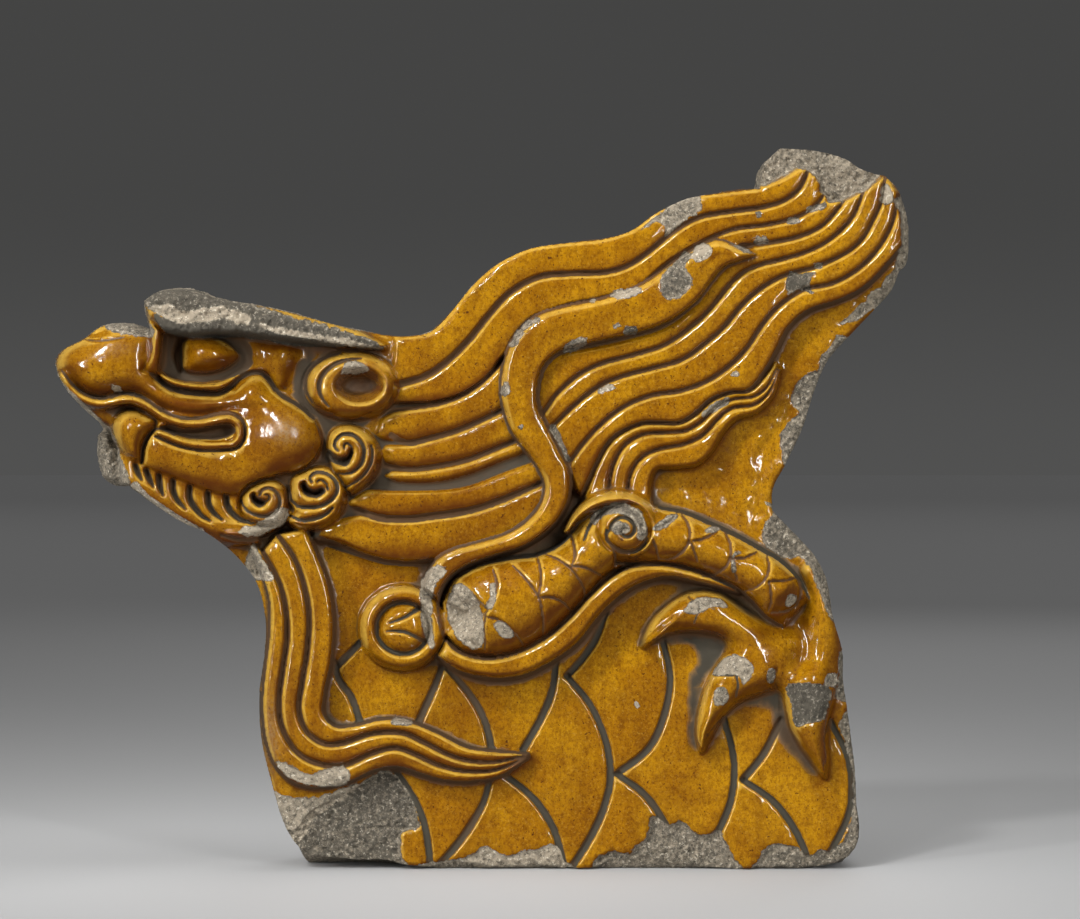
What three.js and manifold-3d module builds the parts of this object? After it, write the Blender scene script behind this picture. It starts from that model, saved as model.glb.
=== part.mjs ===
// Roof-ridge tile: a silhouette-cut panel of fired clay with a dragon carved on its front.
// Millimetres. x runs across, z is up, y runs from the flat back (+) to the carved front (-).
// The origin is the middle of the bounding box at the underside.
// A plan point is [u, v] = across and up; its rise is how far it stands out of the panel's front.
import * as THREE from 'three';
import { mergeVertices } from 'three/addons/utils/BufferGeometryUtils.js';
import Module from 'manifold-3d';

const wasm = await Module();
wasm.setup();

// Driving dimensions
const TOTAL_DEPTH = 96; // back to the foremost point of the brow
const PANEL_DEPTH = 60; // back to the front of the plain panel
const BACK_Y = TOTAL_DEPTH / 2;
const BURIED = -10; // how far each carved piece reaches into the panel
const LAP = 0.6; // neighbouring locks overlap by this much, so they join
const DRAFT_RUN = 1600; // the relief draws in by rise / DRAFT_RUN towards the middle
const MIDDLE = { u: 28.5, v: 205 };
const FLAT_FOOT_DEPTH = 52; // the underside is whole and flat this far from the back
const SCALE_GROOVE = { width: 3.6, depth: 2.6, reach: 1.4 }; // the cutter's sides run on by its reach
const FINENESS = 0.47; // share of the full number of steps that each smooth line is cut into
const DOME_CAP = 0.06; // width of the flat on top of a dome, as a share of the dome

const RISE = {
  groove: 4, mane: 12, ribbon: 22, beard: 11, shell: 13,
  arm: 27, elbow: 30, forearm: 25, talon: 17, palm: 18, wrist: 8,
  head: 12, snout: 27, muzzle: 27, lip: 29, jaw: 26, cheek: 31, fang: 30,
  brow: 36, eye: 25, lid: 24, ear: 27, curl: 27, comb: 18, tuft: 9,
};

// ---------------------------------------------------------------- lines and places

// The solid point above a plan point: relief draws in a little towards the panel's middle.
function place(u, v, rise) {
  const draft = 1 - Math.max(rise, 0) / DRAFT_RUN;
  return [
    MIDDLE.u + (u - MIDDLE.u) * draft,
    BACK_Y - PANEL_DEPTH - rise,
    MIDDLE.v + (v - MIDDLE.v) * draft,
  ];
}

const stepsOf = (full) => (full < 4 ? full : Math.max(4, Math.round(full * FINENESS)));

function smoothCurve(points, closed = false) {
  const corners = points.map(([u, v]) => new THREE.Vector3(u, v, 0));
  return new THREE.CatmullRomCurve3(corners, closed, 'centripetal');
}

// Evenly spaced plan points on a smooth line.
function evenLine(points, steps, closed = false) {
  return smoothCurve(points, closed).getSpacedPoints(stepsOf(steps)).map((p) => [p.x, p.y]);
}

// A smooth line cut so that each span between two of its points has the same number of pieces.
function cutLine(points, cuts) {
  return smoothCurve(points).getPoints((points.length - 1) * cuts).map((p) => [p.x, p.y]);
}

// Plan points at equal shares of each span, so that two lines of equal count stay paired.
function pairedLine(points, full) {
  const curve = smoothCurve(points);
  const steps = stepsOf(full);
  return Array.from({ length: steps + 1 }, (_, i) => {
    const p = curve.getPoint(i / steps);
    return [p.x, p.y];
  });
}

function arc(centre, radii, fromDegrees, toDegrees, full) {
  const steps = stepsOf(full);
  return Array.from({ length: steps + 1 }, (_, i) => {
    const angle = THREE.MathUtils.degToRad(fromDegrees + ((toDegrees - fromDegrees) * i) / steps);
    return [centre[0] + radii[0] * Math.cos(angle), centre[1] + radii[1] * Math.sin(angle)];
  });
}

// A spiral whose radius grows evenly from the eye outwards.
function spiral(centre, radii, fromDegrees, toDegrees, full) {
  const steps = stepsOf(full);
  return Array.from({ length: steps + 1 }, (_, i) => {
    const share = i / steps;
    const angle = THREE.MathUtils.degToRad(fromDegrees + (toDegrees - fromDegrees) * share);
    const radius = radii[0] + (radii[1] - radii[0]) * share;
    return [centre[0] + radius * Math.cos(angle), centre[1] + radius * Math.sin(angle)];
  });
}

const mix = (a, b, share) => a + (b - a) * share;

// ---------------------------------------------------------------- solids

function asSolid(geometry) {
  const bare = geometry.clone();
  for (const name of Object.keys(bare.attributes)) {
    if (name !== 'position') bare.deleteAttribute(name);
  }
  const merged = mergeVertices(bare, 1e-4);
  return new wasm.Manifold(new wasm.Mesh({
    numProp: 3,
    vertProperties: new Float32Array(merged.attributes.position.array),
    triVerts: new Uint32Array(merged.index.array),
  }));
}

function fromRings(rings) {
  const size = rings[0].length;
  const positions = rings.flat(2);
  const faces = [];
  for (let i = 0; i < rings.length - 1; i += 1) {
    for (let j = 0; j < size; j += 1) {
      const a = i * size + j;
      const b = i * size + ((j + 1) % size);
      faces.push(a, b, a + size, b, b + size, a + size);
    }
  }
  const last = (rings.length - 1) * size;
  for (let j = 1; j < size - 1; j += 1) {
    faces.push(0, j + 1, j, last, last + j, last + j + 1);
  }
  const geometry = new THREE.BufferGeometry();
  geometry.setAttribute('position', new THREE.Float32BufferAttribute(positions, 3));
  geometry.setIndex(faces);
  return geometry;
}

// A closed solid from rings of points, turned so that its faces point out.
function ringSolid(rings) {
  const solid = asSolid(fromRings(rings));
  return solid.volume() > 0 ? solid : asSolid(fromRings(rings.map((ring) => [...ring].reverse())));
}

// A rounded lock between two edge lines. Its rise follows edge + (crest - edge)(1 - |2s - 1|^power)
// across, and sinks to the edge's rise over the stated shares of its length at each end.
function lock(left, right, { crest, edge = RISE.groove, across = 4, power = 2.4, fade = [0, 0] }) {
  const last = left.length - 1;
  const rings = left.map(([lu, lv], i) => {
    const [ru, rv] = right[i];
    const width = Math.hypot(ru - lu, rv - lv) || 1;
    const lap = LAP / width;
    const along = i / last;
    const start = fade[0] > 0 ? Math.min(along / fade[0], 1) : 1;
    const end = fade[1] > 0 ? Math.min((1 - along) / fade[1], 1) : 1;
    const fullness = Math.sqrt(Math.min(start, end) * (2 - Math.min(start, end)));
    const ring = [];
    const at = (share, rise) => place(mix(lu, ru, share), mix(lv, rv, share), rise);
    ring.push(at(-lap, BURIED));
    for (let j = 0; j <= across; j += 1) {
      const share = mix(-lap, 1 + lap, j / across);
      const crown = 1 - Math.min(Math.abs(2 * (j / across) - 1), 1) ** power;
      ring.push(at(share, mix(edge - 1, mix(edge - 1, crest, fullness), crown)));
    }
    ring.push(at(1 + lap, BURIED));
    return ring;
  });
  return ringSolid(rings);
}

function lockBetween(left, right, steps, options) {
  return lock(evenLine(left, steps), evenLine(right, steps), options);
}

function pairedLock(left, right, steps, options) {
  return lock(pairedLine(left, steps), pairedLine(right, steps), options);
}

// The two edges of a band that runs along a path, its width changing evenly between the stops.
function edgesOf(path, widths) {
  const last = path.length - 1;
  const left = [];
  const right = [];
  path.forEach(([u, v], i) => {
    const [au, av] = path[Math.max(i - 1, 0)];
    const [bu, bv] = path[Math.min(i + 1, last)];
    const run = Math.hypot(bu - au, bv - av);
    const stop = (i / last) * (widths.length - 1);
    const low = Math.min(Math.floor(stop), widths.length - 2);
    const half = mix(widths[low], widths[low + 1], stop - low) / 2;
    const side = [(-(bv - av) / run) * half, ((bu - au) / run) * half];
    left.push([u + side[0], v + side[1]]);
    right.push([u - side[0], v - side[1]]);
  });
  return [left, right];
}

function band(points, widths, steps, options) {
  const [left, right] = edgesOf(evenLine(points, steps), widths);
  return lock(left, right, options);
}

// A dome over a closed outline: rings shrink to the centre while the rise follows a round crown.
function dome(outline, centre, { crest, edge = RISE.groove, count = 18, rings = 3 }) {
  const rim = evenLine(outline, count, true).slice(0, -1);
  const layers = [rim.map(([u, v]) => place(u, v, BURIED))];
  for (let k = 0; k < rings; k += 1) {
    const shrink = Math.cos(((k / rings) * Math.PI) / 2);
    const crown = Math.sin(((k / rings) * Math.PI) / 2);
    layers.push(rim.map(([u, v]) => place(
      mix(centre[0], u, shrink), mix(centre[1], v, shrink), mix(edge, crest, crown))));
  }
  layers.push(rim.map(([u, v]) => place(
    mix(centre[0], u, DOME_CAP), mix(centre[1], v, DOME_CAP), crest)));
  return ringSolid(layers);
}

const ellipse = (centre, radii) => arc(centre, radii, 0, 330, 18);

// A flat-topped plate over a closed outline, from one rise to another.
function plate(outline, low, high) {
  const shape = new THREE.Shape(outline.map(([u, v]) => new THREE.Vector2(u, v)));
  const geometry = new THREE.ExtrudeGeometry(shape, { depth: high - low, bevelEnabled: false });
  geometry.rotateX(Math.PI / 2);
  geometry.translate(0, BACK_Y - PANEL_DEPTH - low, 0);
  return asSolid(geometry);
}

// A V-shaped groove pressed into the panel along a line, as the solid to take away.
function scaleGroove(points) {
  const [left, right] = edgesOf(evenLine(points, Math.max(6, points.length + 2)), [1, 1]);
  const { width, depth, reach } = SCALE_GROOVE;
  const rings = left.map(([lu, lv], i) => {
    const [ru, rv] = right[i];
    const cu = (lu + ru) / 2;
    const cv = (lv + rv) / 2;
    const at = (share, rise) => place(mix(cu, lu, share * width), mix(cv, lv, share * width), rise);
    return [at(-reach, depth), at(0, -depth), at(reach, depth)];
  });
  return ringSolid(rings);
}

// ---------------------------------------------------------------- the silhouette

// Stretches of the silhouette, clockwise from the brow's front corner. Each is one smooth line, and
// the corners are where they meet. Every span between two points is cut into the same few pieces.
const SILHOUETTE = [
  { points: [[-169.5, 284.3], [-168, 277.5], [-166, 270]], cuts: 1 }, // front of the brow
  { points: [[-166, 270], [-177, 273], [-189, 272.4], [-200, 265], [-209.5, 260], [-213.2, 254],
    [-211.5, 246], [-203, 234], [-192, 224.2]], cuts: 2 }, // snout
  { points: [[-192, 224.2], [-190.7, 220.6], [-193, 216.5], [-193, 204], [-189.5, 195.5], [-183, 192],
    [-177, 192.5]], cuts: 1 }, // broken chin
  { points: [[-177, 192.5], [-163, 182], [-150, 173.7], [-139, 169], [-125.3, 158.7], [-113.8, 144.4],
    [-109.2, 127.5], [-109.2, 110], [-112, 88], [-111, 66], [-106, 44], [-100, 24], [-94, 13],
    [-87, 7.3]], cuts: 2 }, // throat and breast
  { points: [[-87, 7.3], [-64, 5], [-48, 4.6], [-38, 2], [-24, 1.6], [-13, 3.8], [-2, 1.6], [14, 1.4],
    [28, 2.2], [42, 0.6], [55, 1], [64, 5], [86, 6], [104, 3.2], [118, 1], [130, 0.3], [150, 0.5],
    [170, 1.4], [182, 3.6], [187, 8]], cuts: 1 }, // chipped lower edge
  { points: [[187, 8], [189, 17], [187.2, 30], [186.5, 48], [183.6, 72], [180.4, 94], [180, 108],
    [174.5, 128], [171.5, 146], [166, 157], [154, 170], [145, 179.5]], cuts: 2 }, // flank
  { points: [[145, 179.5], [145, 190], [152, 204], [160, 221], [166, 240], [173, 255.5], [187, 271],
    [197, 281.5], [205, 291], [208.5, 300]], cuts: 1 }, // under the mane
  { points: [[208.5, 300], [211.5, 302.5], [213.2, 315], [211.8, 329], [207, 340.5], [201, 347]],
    cuts: 2 }, // mane tip
  { points: [[201, 347], [190, 350.5], [181, 356], [166, 360], [149, 361.2]], cuts: 1 }, // broken stub
  { points: [[149, 361.2], [141, 354]], cuts: 1 },
  { points: [[141, 354], [138.5, 340.7]], cuts: 1 },
  { points: [[138.5, 340.7], [118, 338.3], [102, 335.6], [87, 328.5], [74, 319.6], [61, 315.6],
    [41, 313.4], [23, 310.4], [7, 302.7], [-6, 291.2], [-16, 278.8], [-26, 269.2], [-40, 266.7],
    [-59, 269], [-80, 274.2], [-105, 280.7], [-135, 286.2]], cuts: 2 }, // back of the neck
  { points: [[-135, 286.2], [-141, 289.2], [-150, 290.4], [-163, 288.7], [-169.5, 284.3]],
    cuts: 1 }, // broken brow
];

const silhouette = SILHOUETTE.flatMap(({ points, cuts }) => cutLine(points, cuts).slice(0, -1));

// The underside is flat: the chips in its front edge reach back only to FLAT_FOOT_DEPTH.
const FLAT_FOOT = [[-91, 11], [-82, 0], [184, 0], [188, 11], [180, 30], [-80, 30]];

// The left face of the broken stub slants back from its front corner: plan corners [x, y, low z].
const STUB_TOP = 363;
const STUB_CUT = [[136, -14, 340.9], [150, -14, 346], [140.5, 49, 342], [136, 49, 340.9]];

// The grooves that outline the overlapping body scales.
const BODY_SCALES = [
  [[-74.6, 104], [-72, 95], [-66, 86.5], [-61, 75.4]],
  [[-61.5, 113.7], [-71.5, 103.7]],
  [[-20.7, 101], [-24.6, 91], [-30, 79], [-31.5, 74]],
  [[-17, 99], [-6, 87], [1, 74], [5, 61]],
  [[-43.8, 49], [-37.7, 41], [-30, 25], [-25.7, 2]],
  [[3, 44], [0, 33.5], [-9, 18], [-20, 4]],
  [[36, 105], [34.5, 90], [30, 78], [22.5, 62]],
  [[61, 130], [57, 117], [50, 106], [43, 98]],
  [[43, 96], [54, 82], [62, 62], [63.6, 45], [60, 30], [53, 15], [44, 2]],
  [[11, 46], [25, 36], [35, 21], [40, 3]],
  [[90, 114], [93.5, 97], [91, 79], [83, 61], [68, 48]],
  [[68, 48], [82, 36.5], [95, 17]],
  [[120, 76], [125.4, 55], [124, 35], [114.5, 12.5]],
  [[147, 72], [140, 57.5], [130.5, 45]],
  [[131, 44.5], [145, 34.5], [156, 20], [163.7, 3]],
  [[172.6, 74], [183, 54], [183.5, 30], [174.5, 9]],
];

function buildPanel() {
  const whole = plate(silhouette, -PANEL_DEPTH, 0)
    .add(plate(FLAT_FOOT, -PANEL_DEPTH, FLAT_FOOT_DEPTH - PANEL_DEPTH))
    .subtract(ringSolid([
      STUB_CUT.map(([x, y, low]) => [x, y, low]),
      STUB_CUT.map(([x, y]) => [x, y, STUB_TOP]),
    ]));
  return BODY_SCALES.reduce((panel, line) => panel.subtract(scaleGroove(line)), whole);
}

// ---------------------------------------------------------------- mane

// The valleys between the locks of the mane, from the head to the tip, top to bottom.
const VALLEY = {
  back: [[-42, 266.2], [-26, 268.7], [-16, 278], [-6, 290.4], [7, 302], [23, 309.7], [41, 312.8],
    [61, 315], [74, 319], [87, 328], [102, 335], [118, 337.7], [138.5, 340.2], [150, 344], [160, 349]],
  first: [[-40, 243.3], [-28, 247.3], [-17, 255], [-7, 265], [3, 277.5], [14, 289], [28, 296.5],
    [45, 298.3], [62, 299], [73, 302.5], [84, 310], [95, 319], [108, 326.3], [124, 329.3],
    [140, 331.5], [151, 335], [158, 340.5], [163, 349]],
  second: [[-40, 230.6], [-24, 232.6], [-10, 237.4], [0, 244.4], [9, 254], [16, 267], [24, 275.5],
    [41, 282], [60, 286], [78, 292], [92, 303], [108, 313], [125, 320.3], [142, 322.7], [157, 326.5],
    [167, 333], [174, 345]],
  underTip: [[127, 312], [142, 313.5], [158, 316.8], [170, 322.5], [180, 334]],
  underRibbon: [[36, 257], [55, 261], [75, 265.5], [92, 271.5], [104, 281], [113, 292], [121, 301.5],
    [133, 310.5], [145, 314], [158, 316.8], [170, 322.5], [180, 334]],
  third: [[31, 230], [36, 237], [42, 243], [50, 249], [60, 253.5], [75, 257.5], [90, 262.3],
    [100, 268.5], [113, 280], [124, 293.5], [131, 299.5], [138, 302.5], [150, 305.5], [160, 308.5],
    [170, 313], [178, 319], [185, 327], [190, 338]],
  fourth: [[32, 222], [41, 228], [50, 236], [60, 243], [70, 247], [85, 251], [100, 255.5], [112, 264],
    [120, 271], [130, 283], [140, 291.5], [150, 297], [166, 301.5], [183, 309.5], [190, 316],
    [195, 325], [199, 334], [201, 345]],
  fifth: [[43.5, 205], [52, 215.5], [62, 225.5], [72, 232.5], [85, 237.5], [98, 239.5], [110, 243.5],
    [120, 249.5], [130, 258.5], [140, 273], [148, 282], [160, 290], [175, 293.5], [187, 300],
    [197, 310], [204, 322], [208, 336]],
  sixth: [[49, 189], [53, 195], [57, 204], [63, 214], [70, 219.5], [80, 223.5], [90, 223.7],
    [98, 223.7], [106, 228], [114, 235], [124, 238.8], [133, 239.8], [141, 249], [147, 259.5],
    [153, 271], [163, 279.5], [178, 284.5], [190, 290.5], [200, 300], [209, 312]],
};

// The loose locks that rise from behind the elbow and twist together at their tips.
const TUFT = [
  [[52, 190], [57, 204], [63, 214], [70, 219.5], [80, 223.5], [98, 223.7], [106, 228], [114, 235],
    [124, 238.8], [133, 239.8], [140, 246], [145, 252]],
  [[63, 190], [65, 202], [71, 212.5], [80, 217.8], [92, 218.8], [101, 219.6], [109, 224], [117, 231.5],
    [125, 235.4], [136, 237], [142, 241.5], [146, 249]],
  [[72.5, 188], [73.5, 197], [79, 206], [88, 210.5], [100, 212.8], [110, 217.5], [116.5, 224.5],
    [124, 230.8], [136, 232.8], [143, 239], [147, 248]],
  [[84.5, 184], [84, 193], [87, 200], [96, 200.8], [107, 202.3], [114, 208], [120, 218], [127, 225.2],
    [137, 228.5], [144.5, 236], [148.3, 248]],
];

// The valleys between the locks that run from the beard to the ribbon, top to bottom.
const NECK_LOCKS = [
  { left: [[-45, 229.5], [-24, 232.6], [-10, 237.4], [0, 244.4], [9, 253]],
    right: [[-52, 217], [-38.4, 213.7], [-26, 216.3], [-12, 220.3], [0, 225.5], [10, 231]] },
  { left: [[-50.7, 216], [-38.4, 213.7], [-26, 216.3], [-12, 220.3], [0, 225.5], [10, 231]],
    right: [[-49, 201.3], [-36, 200.5], [-22, 202], [-8, 205.2], [5, 210.3], [16, 216]] },
  { left: [[-48, 200.7], [-36, 200], [-22, 201.5], [-8, 204.7], [5, 209.8], [18, 214]],
    right: [[-47.7, 195], [-34, 193.5], [-20, 194.3], [-6, 198], [8, 203.5], [21, 208.5]] },
  { left: [[-63.8, 184.5], [-54.6, 190], [-45, 189.4], [-30, 189.5], [-15, 190.4], [-4, 193],
    [10, 198.5], [24, 203.5]],
  right: [[-66, 183], [-58, 178.3], [-50, 176.3], [-38.4, 175.6], [-22, 177.5], [-6, 180], [8, 184.5],
    [20, 189.5], [29, 193.5]] },
  { left: [[-75, 172.5], [-58, 178.3], [-50, 176.3], [-38.4, 175.6], [-22, 177.5], [-6, 180],
    [8, 184.5], [20, 189.5], [29, 193.5]],
  right: [[-80.7, 167.5], [-68.4, 165], [-61.5, 160.6], [-50, 157.5], [-38.4, 156.7], [-27, 157.5],
    [-15, 161], [-2, 164.5], [10, 168], [22, 174.5], [29, 184]] },
];

function buildMane() {
  const crest = RISE.mane;
  const locks = [
    lockBetween(VALLEY.back, VALLEY.first, 26, { crest, edge: 5, fade: [0.06, 0.02] }),
    lockBetween(VALLEY.first, VALLEY.second, 28, { crest }),
    lockBetween(VALLEY.second.slice(11), VALLEY.underTip, 8, { crest }),
    lockBetween(VALLEY.underRibbon, VALLEY.third, 22, { crest: crest - 1, across: 3 }),
    lockBetween(VALLEY.third, VALLEY.fourth, 26, { crest, across: 3 }),
    lockBetween(VALLEY.fourth, VALLEY.fifth, 26, { crest: crest + 1 }),
    lockBetween(VALLEY.fifth, VALLEY.sixth, 26, { crest }),
  ];
  const tuft = TUFT.slice(1).map((line, i) => lockBetween(TUFT[i], line, 18,
    { crest: RISE.tuft, edge: 2, across: 3, fade: [0.05, 0.1] }));
  const neck = NECK_LOCKS.map(({ left, right }) => lockBetween(left, right, 9,
    { crest, across: 3, fade: [0.12, 0] }));
  return [...locks, ...tuft, ...neck];
}

// ---------------------------------------------------------------- ribbon and beard

// One flat ribbon: from its leaf tip it crosses the mane in an S and runs round the shoulder.
const RIBBON = {
  left: [[135, 308], [118, 316], [97, 305], [78, 292.5], [60, 286], [41, 282], [28, 278], [19, 271],
    [12, 260], [8.5, 243], [10, 230], [14, 219], [20, 210.5], [26, 202.5], [30, 194], [29.5, 186],
    [24, 177], [13, 169], [-1, 164.5], [-15, 160.5], [-24, 155], [-29, 145], [-30, 134], [-29, 122],
    [-25, 111], [-18, 103.5], [-8, 98.5], [4, 96.2], [20, 97.5], [36, 105], [48, 114], [57, 125.5],
    [66, 135], [77, 142.5], [91, 146.7], [108, 144]],
  right: [[135.4, 307], [121, 301], [108, 285], [96, 275.5], [86, 270.8], [70, 266.5], [52, 262.5],
    [40, 259.5], [31, 252], [27.5, 239], [28.5, 230], [33, 221], [38.5, 210], [43, 201.5], [44.3, 193],
    [42.5, 183], [35, 171.5], [21, 161.5], [4, 156], [-10, 150.5], [-17, 145], [-21, 138], [-22, 131],
    [-21, 122], [-18, 115], [-13, 110], [-5, 106.8], [6, 106], [19, 109.5], [32, 116.5], [43, 126],
    [53, 137], [63, 146], [74, 151.7], [88, 153], [102, 150.5]],
};

// The three locks of the beard run down the breast and turn along the body to a point.
const BEARD = [
  [[-115, 160], [-111, 148], [-107, 134], [-107, 118], [-109, 101], [-110.5, 84], [-109, 66],
    [-104.5, 53], [-98, 45.5], [-89, 41.5], [-78, 41], [-66, 44], [-54, 49.5], [-42, 51], [-32, 48],
    [-19, 44.6], [-6, 44.2], [8, 46.5], [21, 55]],
  [[-109, 156.7], [-102, 144], [-98.5, 130], [-98, 115], [-100, 101], [-102, 83], [-100, 70], [-92, 58],
    [-81, 52.8], [-69.6, 52.3], [-56, 58], [-43.8, 61], [-34, 57.8], [-22, 52.3], [-8, 49.3],
    [6, 50], [22, 56]],
  [[-103, 166.7], [-95, 157], [-90, 144.4], [-87, 128], [-87.7, 110.6], [-90.5, 93], [-92, 80],
    [-88, 69], [-79, 63], [-70, 63.5], [-56, 68], [-40.7, 68.5], [-28, 63], [-17, 57.5], [-6, 54.5],
    [6, 54], [22.4, 56.6]],
  [[-89, 168], [-83, 156], [-78, 142], [-75.7, 125], [-76.5, 106], [-80, 88], [-80.5, 78], [-74, 72],
    [-65, 72.3], [-50, 75.6], [-36, 74], [-22, 68.5], [-8, 61.5], [6, 59.5], [22.4, 57.4]],
];

const SHELL = { centre: [-40, 121], ring: [18, 18], ringWidth: 8, boss: [12, 12] };

function buildRibbons() {
  const ribbon = pairedLock(RIBBON.left, RIBBON.right, 105,
    { crest: RISE.ribbon, edge: 12, across: 3, power: 4, fade: [0.08, 0.15] });
  const beard = BEARD.slice(1).map((line, i) => lockBetween(BEARD[i], line, 26,
    { crest: RISE.beard, edge: 4, across: 3, fade: [0.04, 0.3] }));
  const loop = arc(SHELL.centre, SHELL.ring, 0, 360, 20);
  const shell = [
    lock(...edgesOf(loop, [SHELL.ringWidth, SHELL.ringWidth]), { crest: RISE.shell, across: 3 }),
    dome(ellipse(SHELL.centre, SHELL.boss), SHELL.centre, { crest: RISE.shell + 1, count: 14 }),
  ];
  return [ribbon, ...beard, ...shell];
}

// ---------------------------------------------------------------- foreleg

const UPPER_ARM = {
  left: [[-20, 134], [-14, 146], [-2, 152.5], [13, 156], [28, 158], [40, 164], [48, 174], [60, 181],
    [72, 178]],
  right: [[-19, 118], [-10, 109], [4, 106.5], [20, 110], [34, 118.5], [46, 130], [56, 141], [66, 150],
    [78, 154]],
};
const FOREARM = {
  left: [[74, 180], [88, 180], [101, 178], [113, 173], [125, 168], [138, 161], [149, 154.5],
    [157, 146.5], [162, 137]],
  right: [[70, 154], [84, 153], [95, 152.5], [107, 149.5], [117, 145.5], [127, 140.5], [135, 133.5],
    [141, 127], [149, 122]],
};
const ELBOW = { centre: [70.5, 170], radii: [13, 12.5] };
const ELBOW_SCROLL = [[42, 169.5], [46, 176.5], [53, 182.5], [63, 185.5], [73, 184.5], [80.5, 178.5],
  [82.5, 170]];
const TALONS = [
  { left: [[79, 113], [82, 121], [90, 131], [100, 138], [111, 139.5], [122, 137], [133, 130],
    [142, 122]],
  right: [[79.6, 112.4], [84, 114], [91, 118.5], [100, 121], [109, 120.3], [117, 118], [125, 112],
    [131, 106]] },
  { left: [[108.6, 60], [108, 70], [110.5, 82], [113.5, 92], [117, 102], [123, 111], [130, 118]],
    right: [[109.6, 60], [115, 69], [122, 79], [131, 85.5], [141, 88.7], [149, 92], [156, 100]] },
  { left: [[169.5, 46], [162, 54], [154, 65], [148.5, 77], [146.5, 88], [148, 99]],
    right: [[171, 46], [172.6, 57], [173, 68], [173.5, 80], [172.5, 92], [167, 103]] },
];
const PALM = { centre: [143, 112], outline: [[118, 138], [132, 131], [143, 122], [153, 121], [160, 117],
  [161, 104], [159, 95], [148, 90], [136, 96], [125, 105], [118, 118]] };
const FLANK_ROLL = { path: [[153, 154], [161, 148], [167, 137], [170.5, 124], [171, 110], [168, 97]],
  widths: [6, 14, 10] };

function buildForeleg() {
  return [
    pairedLock(UPPER_ARM.left, UPPER_ARM.right, 16,
      { crest: RISE.arm, edge: 8, across: 5, power: 2, fade: [0.3, 0] }),
    pairedLock(FOREARM.left, FOREARM.right, 16,
      { crest: RISE.forearm, edge: 8, across: 4, power: 2.4, fade: [0, 0.22] }),
    dome(ellipse(ELBOW.centre, ELBOW.radii), ELBOW.centre, { crest: RISE.elbow, edge: 20, count: 16 }),
    band(ELBOW_SCROLL, [3, 6, 7], 10, { crest: RISE.arm, edge: 10, across: 3 }),
    ...TALONS.map(({ left, right }) => pairedLock(left, right, 14,
      { crest: RISE.talon, edge: 2, across: 4, power: 2, fade: [0.5, 0] })),
    dome(PALM.outline, PALM.centre, { crest: RISE.palm, edge: 6 }),
    band(FLANK_ROLL.path, FLANK_ROLL.widths, 10, { crest: RISE.wrist, edge: 0, fade: [0.3, 0.3] }),
  ];
}

// ---------------------------------------------------------------- head

const HEAD_GROUND = [[-165.5, 268], [-178, 270.5], [-190, 269.5], [-200, 262.5], [-209, 257],
  [-211, 252], [-206, 242], [-195, 231], [-184, 222], [-182, 208], [-171, 199], [-150, 190],
  [-130, 183], [-112, 182], [-92, 190], [-70, 205], [-50, 224], [-43, 240], [-46, 258], [-58, 266.5],
  [-90, 274.5], [-133, 283.5], [-165, 286]];
const SNOUT = { centre: [-187, 252], outline: [[-166, 269], [-178, 271], [-192, 269], [-203, 261.5],
  [-211, 254], [-208, 245], [-198, 237.7], [-186, 237], [-173, 240], [-165, 246], [-163, 256]] };
const MUZZLE = {
  left: [[-171, 249], [-160, 244], [-146, 240.2], [-132, 239.6], [-121, 245], [-109, 247]],
  right: [[-176, 238], [-163, 233.3], [-150, 227], [-138, 226.6], [-124, 228.6], [-110, 224]],
};
const CHEEK = { centre: [-99, 218], outline: [[-119, 239], [-107, 243], [-94, 234], [-83, 222],
  [-82, 209], [-90, 201], [-104, 197.5], [-115, 201], [-119, 214]] };
const JAW = { centre: [-142, 203], outline: [[-182, 214], [-171, 203], [-152, 195.5], [-130, 188.3],
  [-112, 192], [-104, 199], [-118, 208], [-135, 210], [-152, 211.5], [-165, 217], [-176, 222]] };
const LIP = { path: [[-209, 246], [-200, 237], [-190, 234.3], [-178, 236], [-166, 231.5],
  [-155, 225.3], [-143, 223.8], [-131, 225.8], [-124, 225.3], [-121, 219.5], [-124.5, 213.9],
  [-135, 212], [-152, 213.7], [-163, 218.3]], widths: [4, 6, 6, 5.5, 5, 4] };
const FANG = { centre: [-175, 218], outline: [[-183, 227], [-177, 229.6], [-170, 228.3], [-163.5, 224],
  [-168, 218.5], [-171, 204.5], [-178.5, 206.5], [-183, 214]] };
const EYE = { centre: [-137.7, 257.5], radii: [14, 8.5] };
const LOWER_LID = [[-164, 247.5], [-155, 243.5], [-145, 241.5], [-132, 241.2], [-124, 245],
  [-113, 250]];
const BROW = {
  left: [[-169, 284], [-160, 289], [-148, 290], [-135, 285.7], [-118, 283], [-100, 279], [-80, 273.5],
    [-62, 268.8], [-51, 263.5]],
  right: [[-166, 276], [-158, 270], [-146, 268], [-133, 269.5], [-117, 268], [-100, 265.5],
    [-83, 263.5], [-66, 262], [-51, 261]],
};
const BROW_PILLAR = [[-166, 282], [-164, 270], [-163.5, 259], [-166, 250]];
const EAR = { centre: [-66, 242], ring: [17.5, 12.5], ringWidth: 10, curl: [-62, 243] };
const CURLS = [
  { centre: [-68.5, 211.5], radii: [2.5, 16.5], from: 150, to: -250, widths: [4, 6.5, 7.5] },
  { centre: [-83, 192.5], radii: [2.5, 14], from: 170, to: -230, widths: [4, 6, 7] },
  { centre: [-108.5, 187], radii: [2.5, 9], from: 160, to: -200, widths: [4, 5, 5.5] },
];
const COMB = { fingers: 9, width: 5.4, bow: 3,
  top: [[-176, 200], [-163, 195.5], [-147, 190], [-131, 186], [-116, 184]],
  foot: [[-176, 194], [-163, 184], [-149, 176], [-135, 170], [-119, 168]] };
const CHIN_LUMP = { centre: [-185, 207], outline: [[-190, 220], [-192, 212], [-191.5, 203],
  [-187, 195], [-179, 195], [-178, 206], [-184, 216]] };
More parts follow.
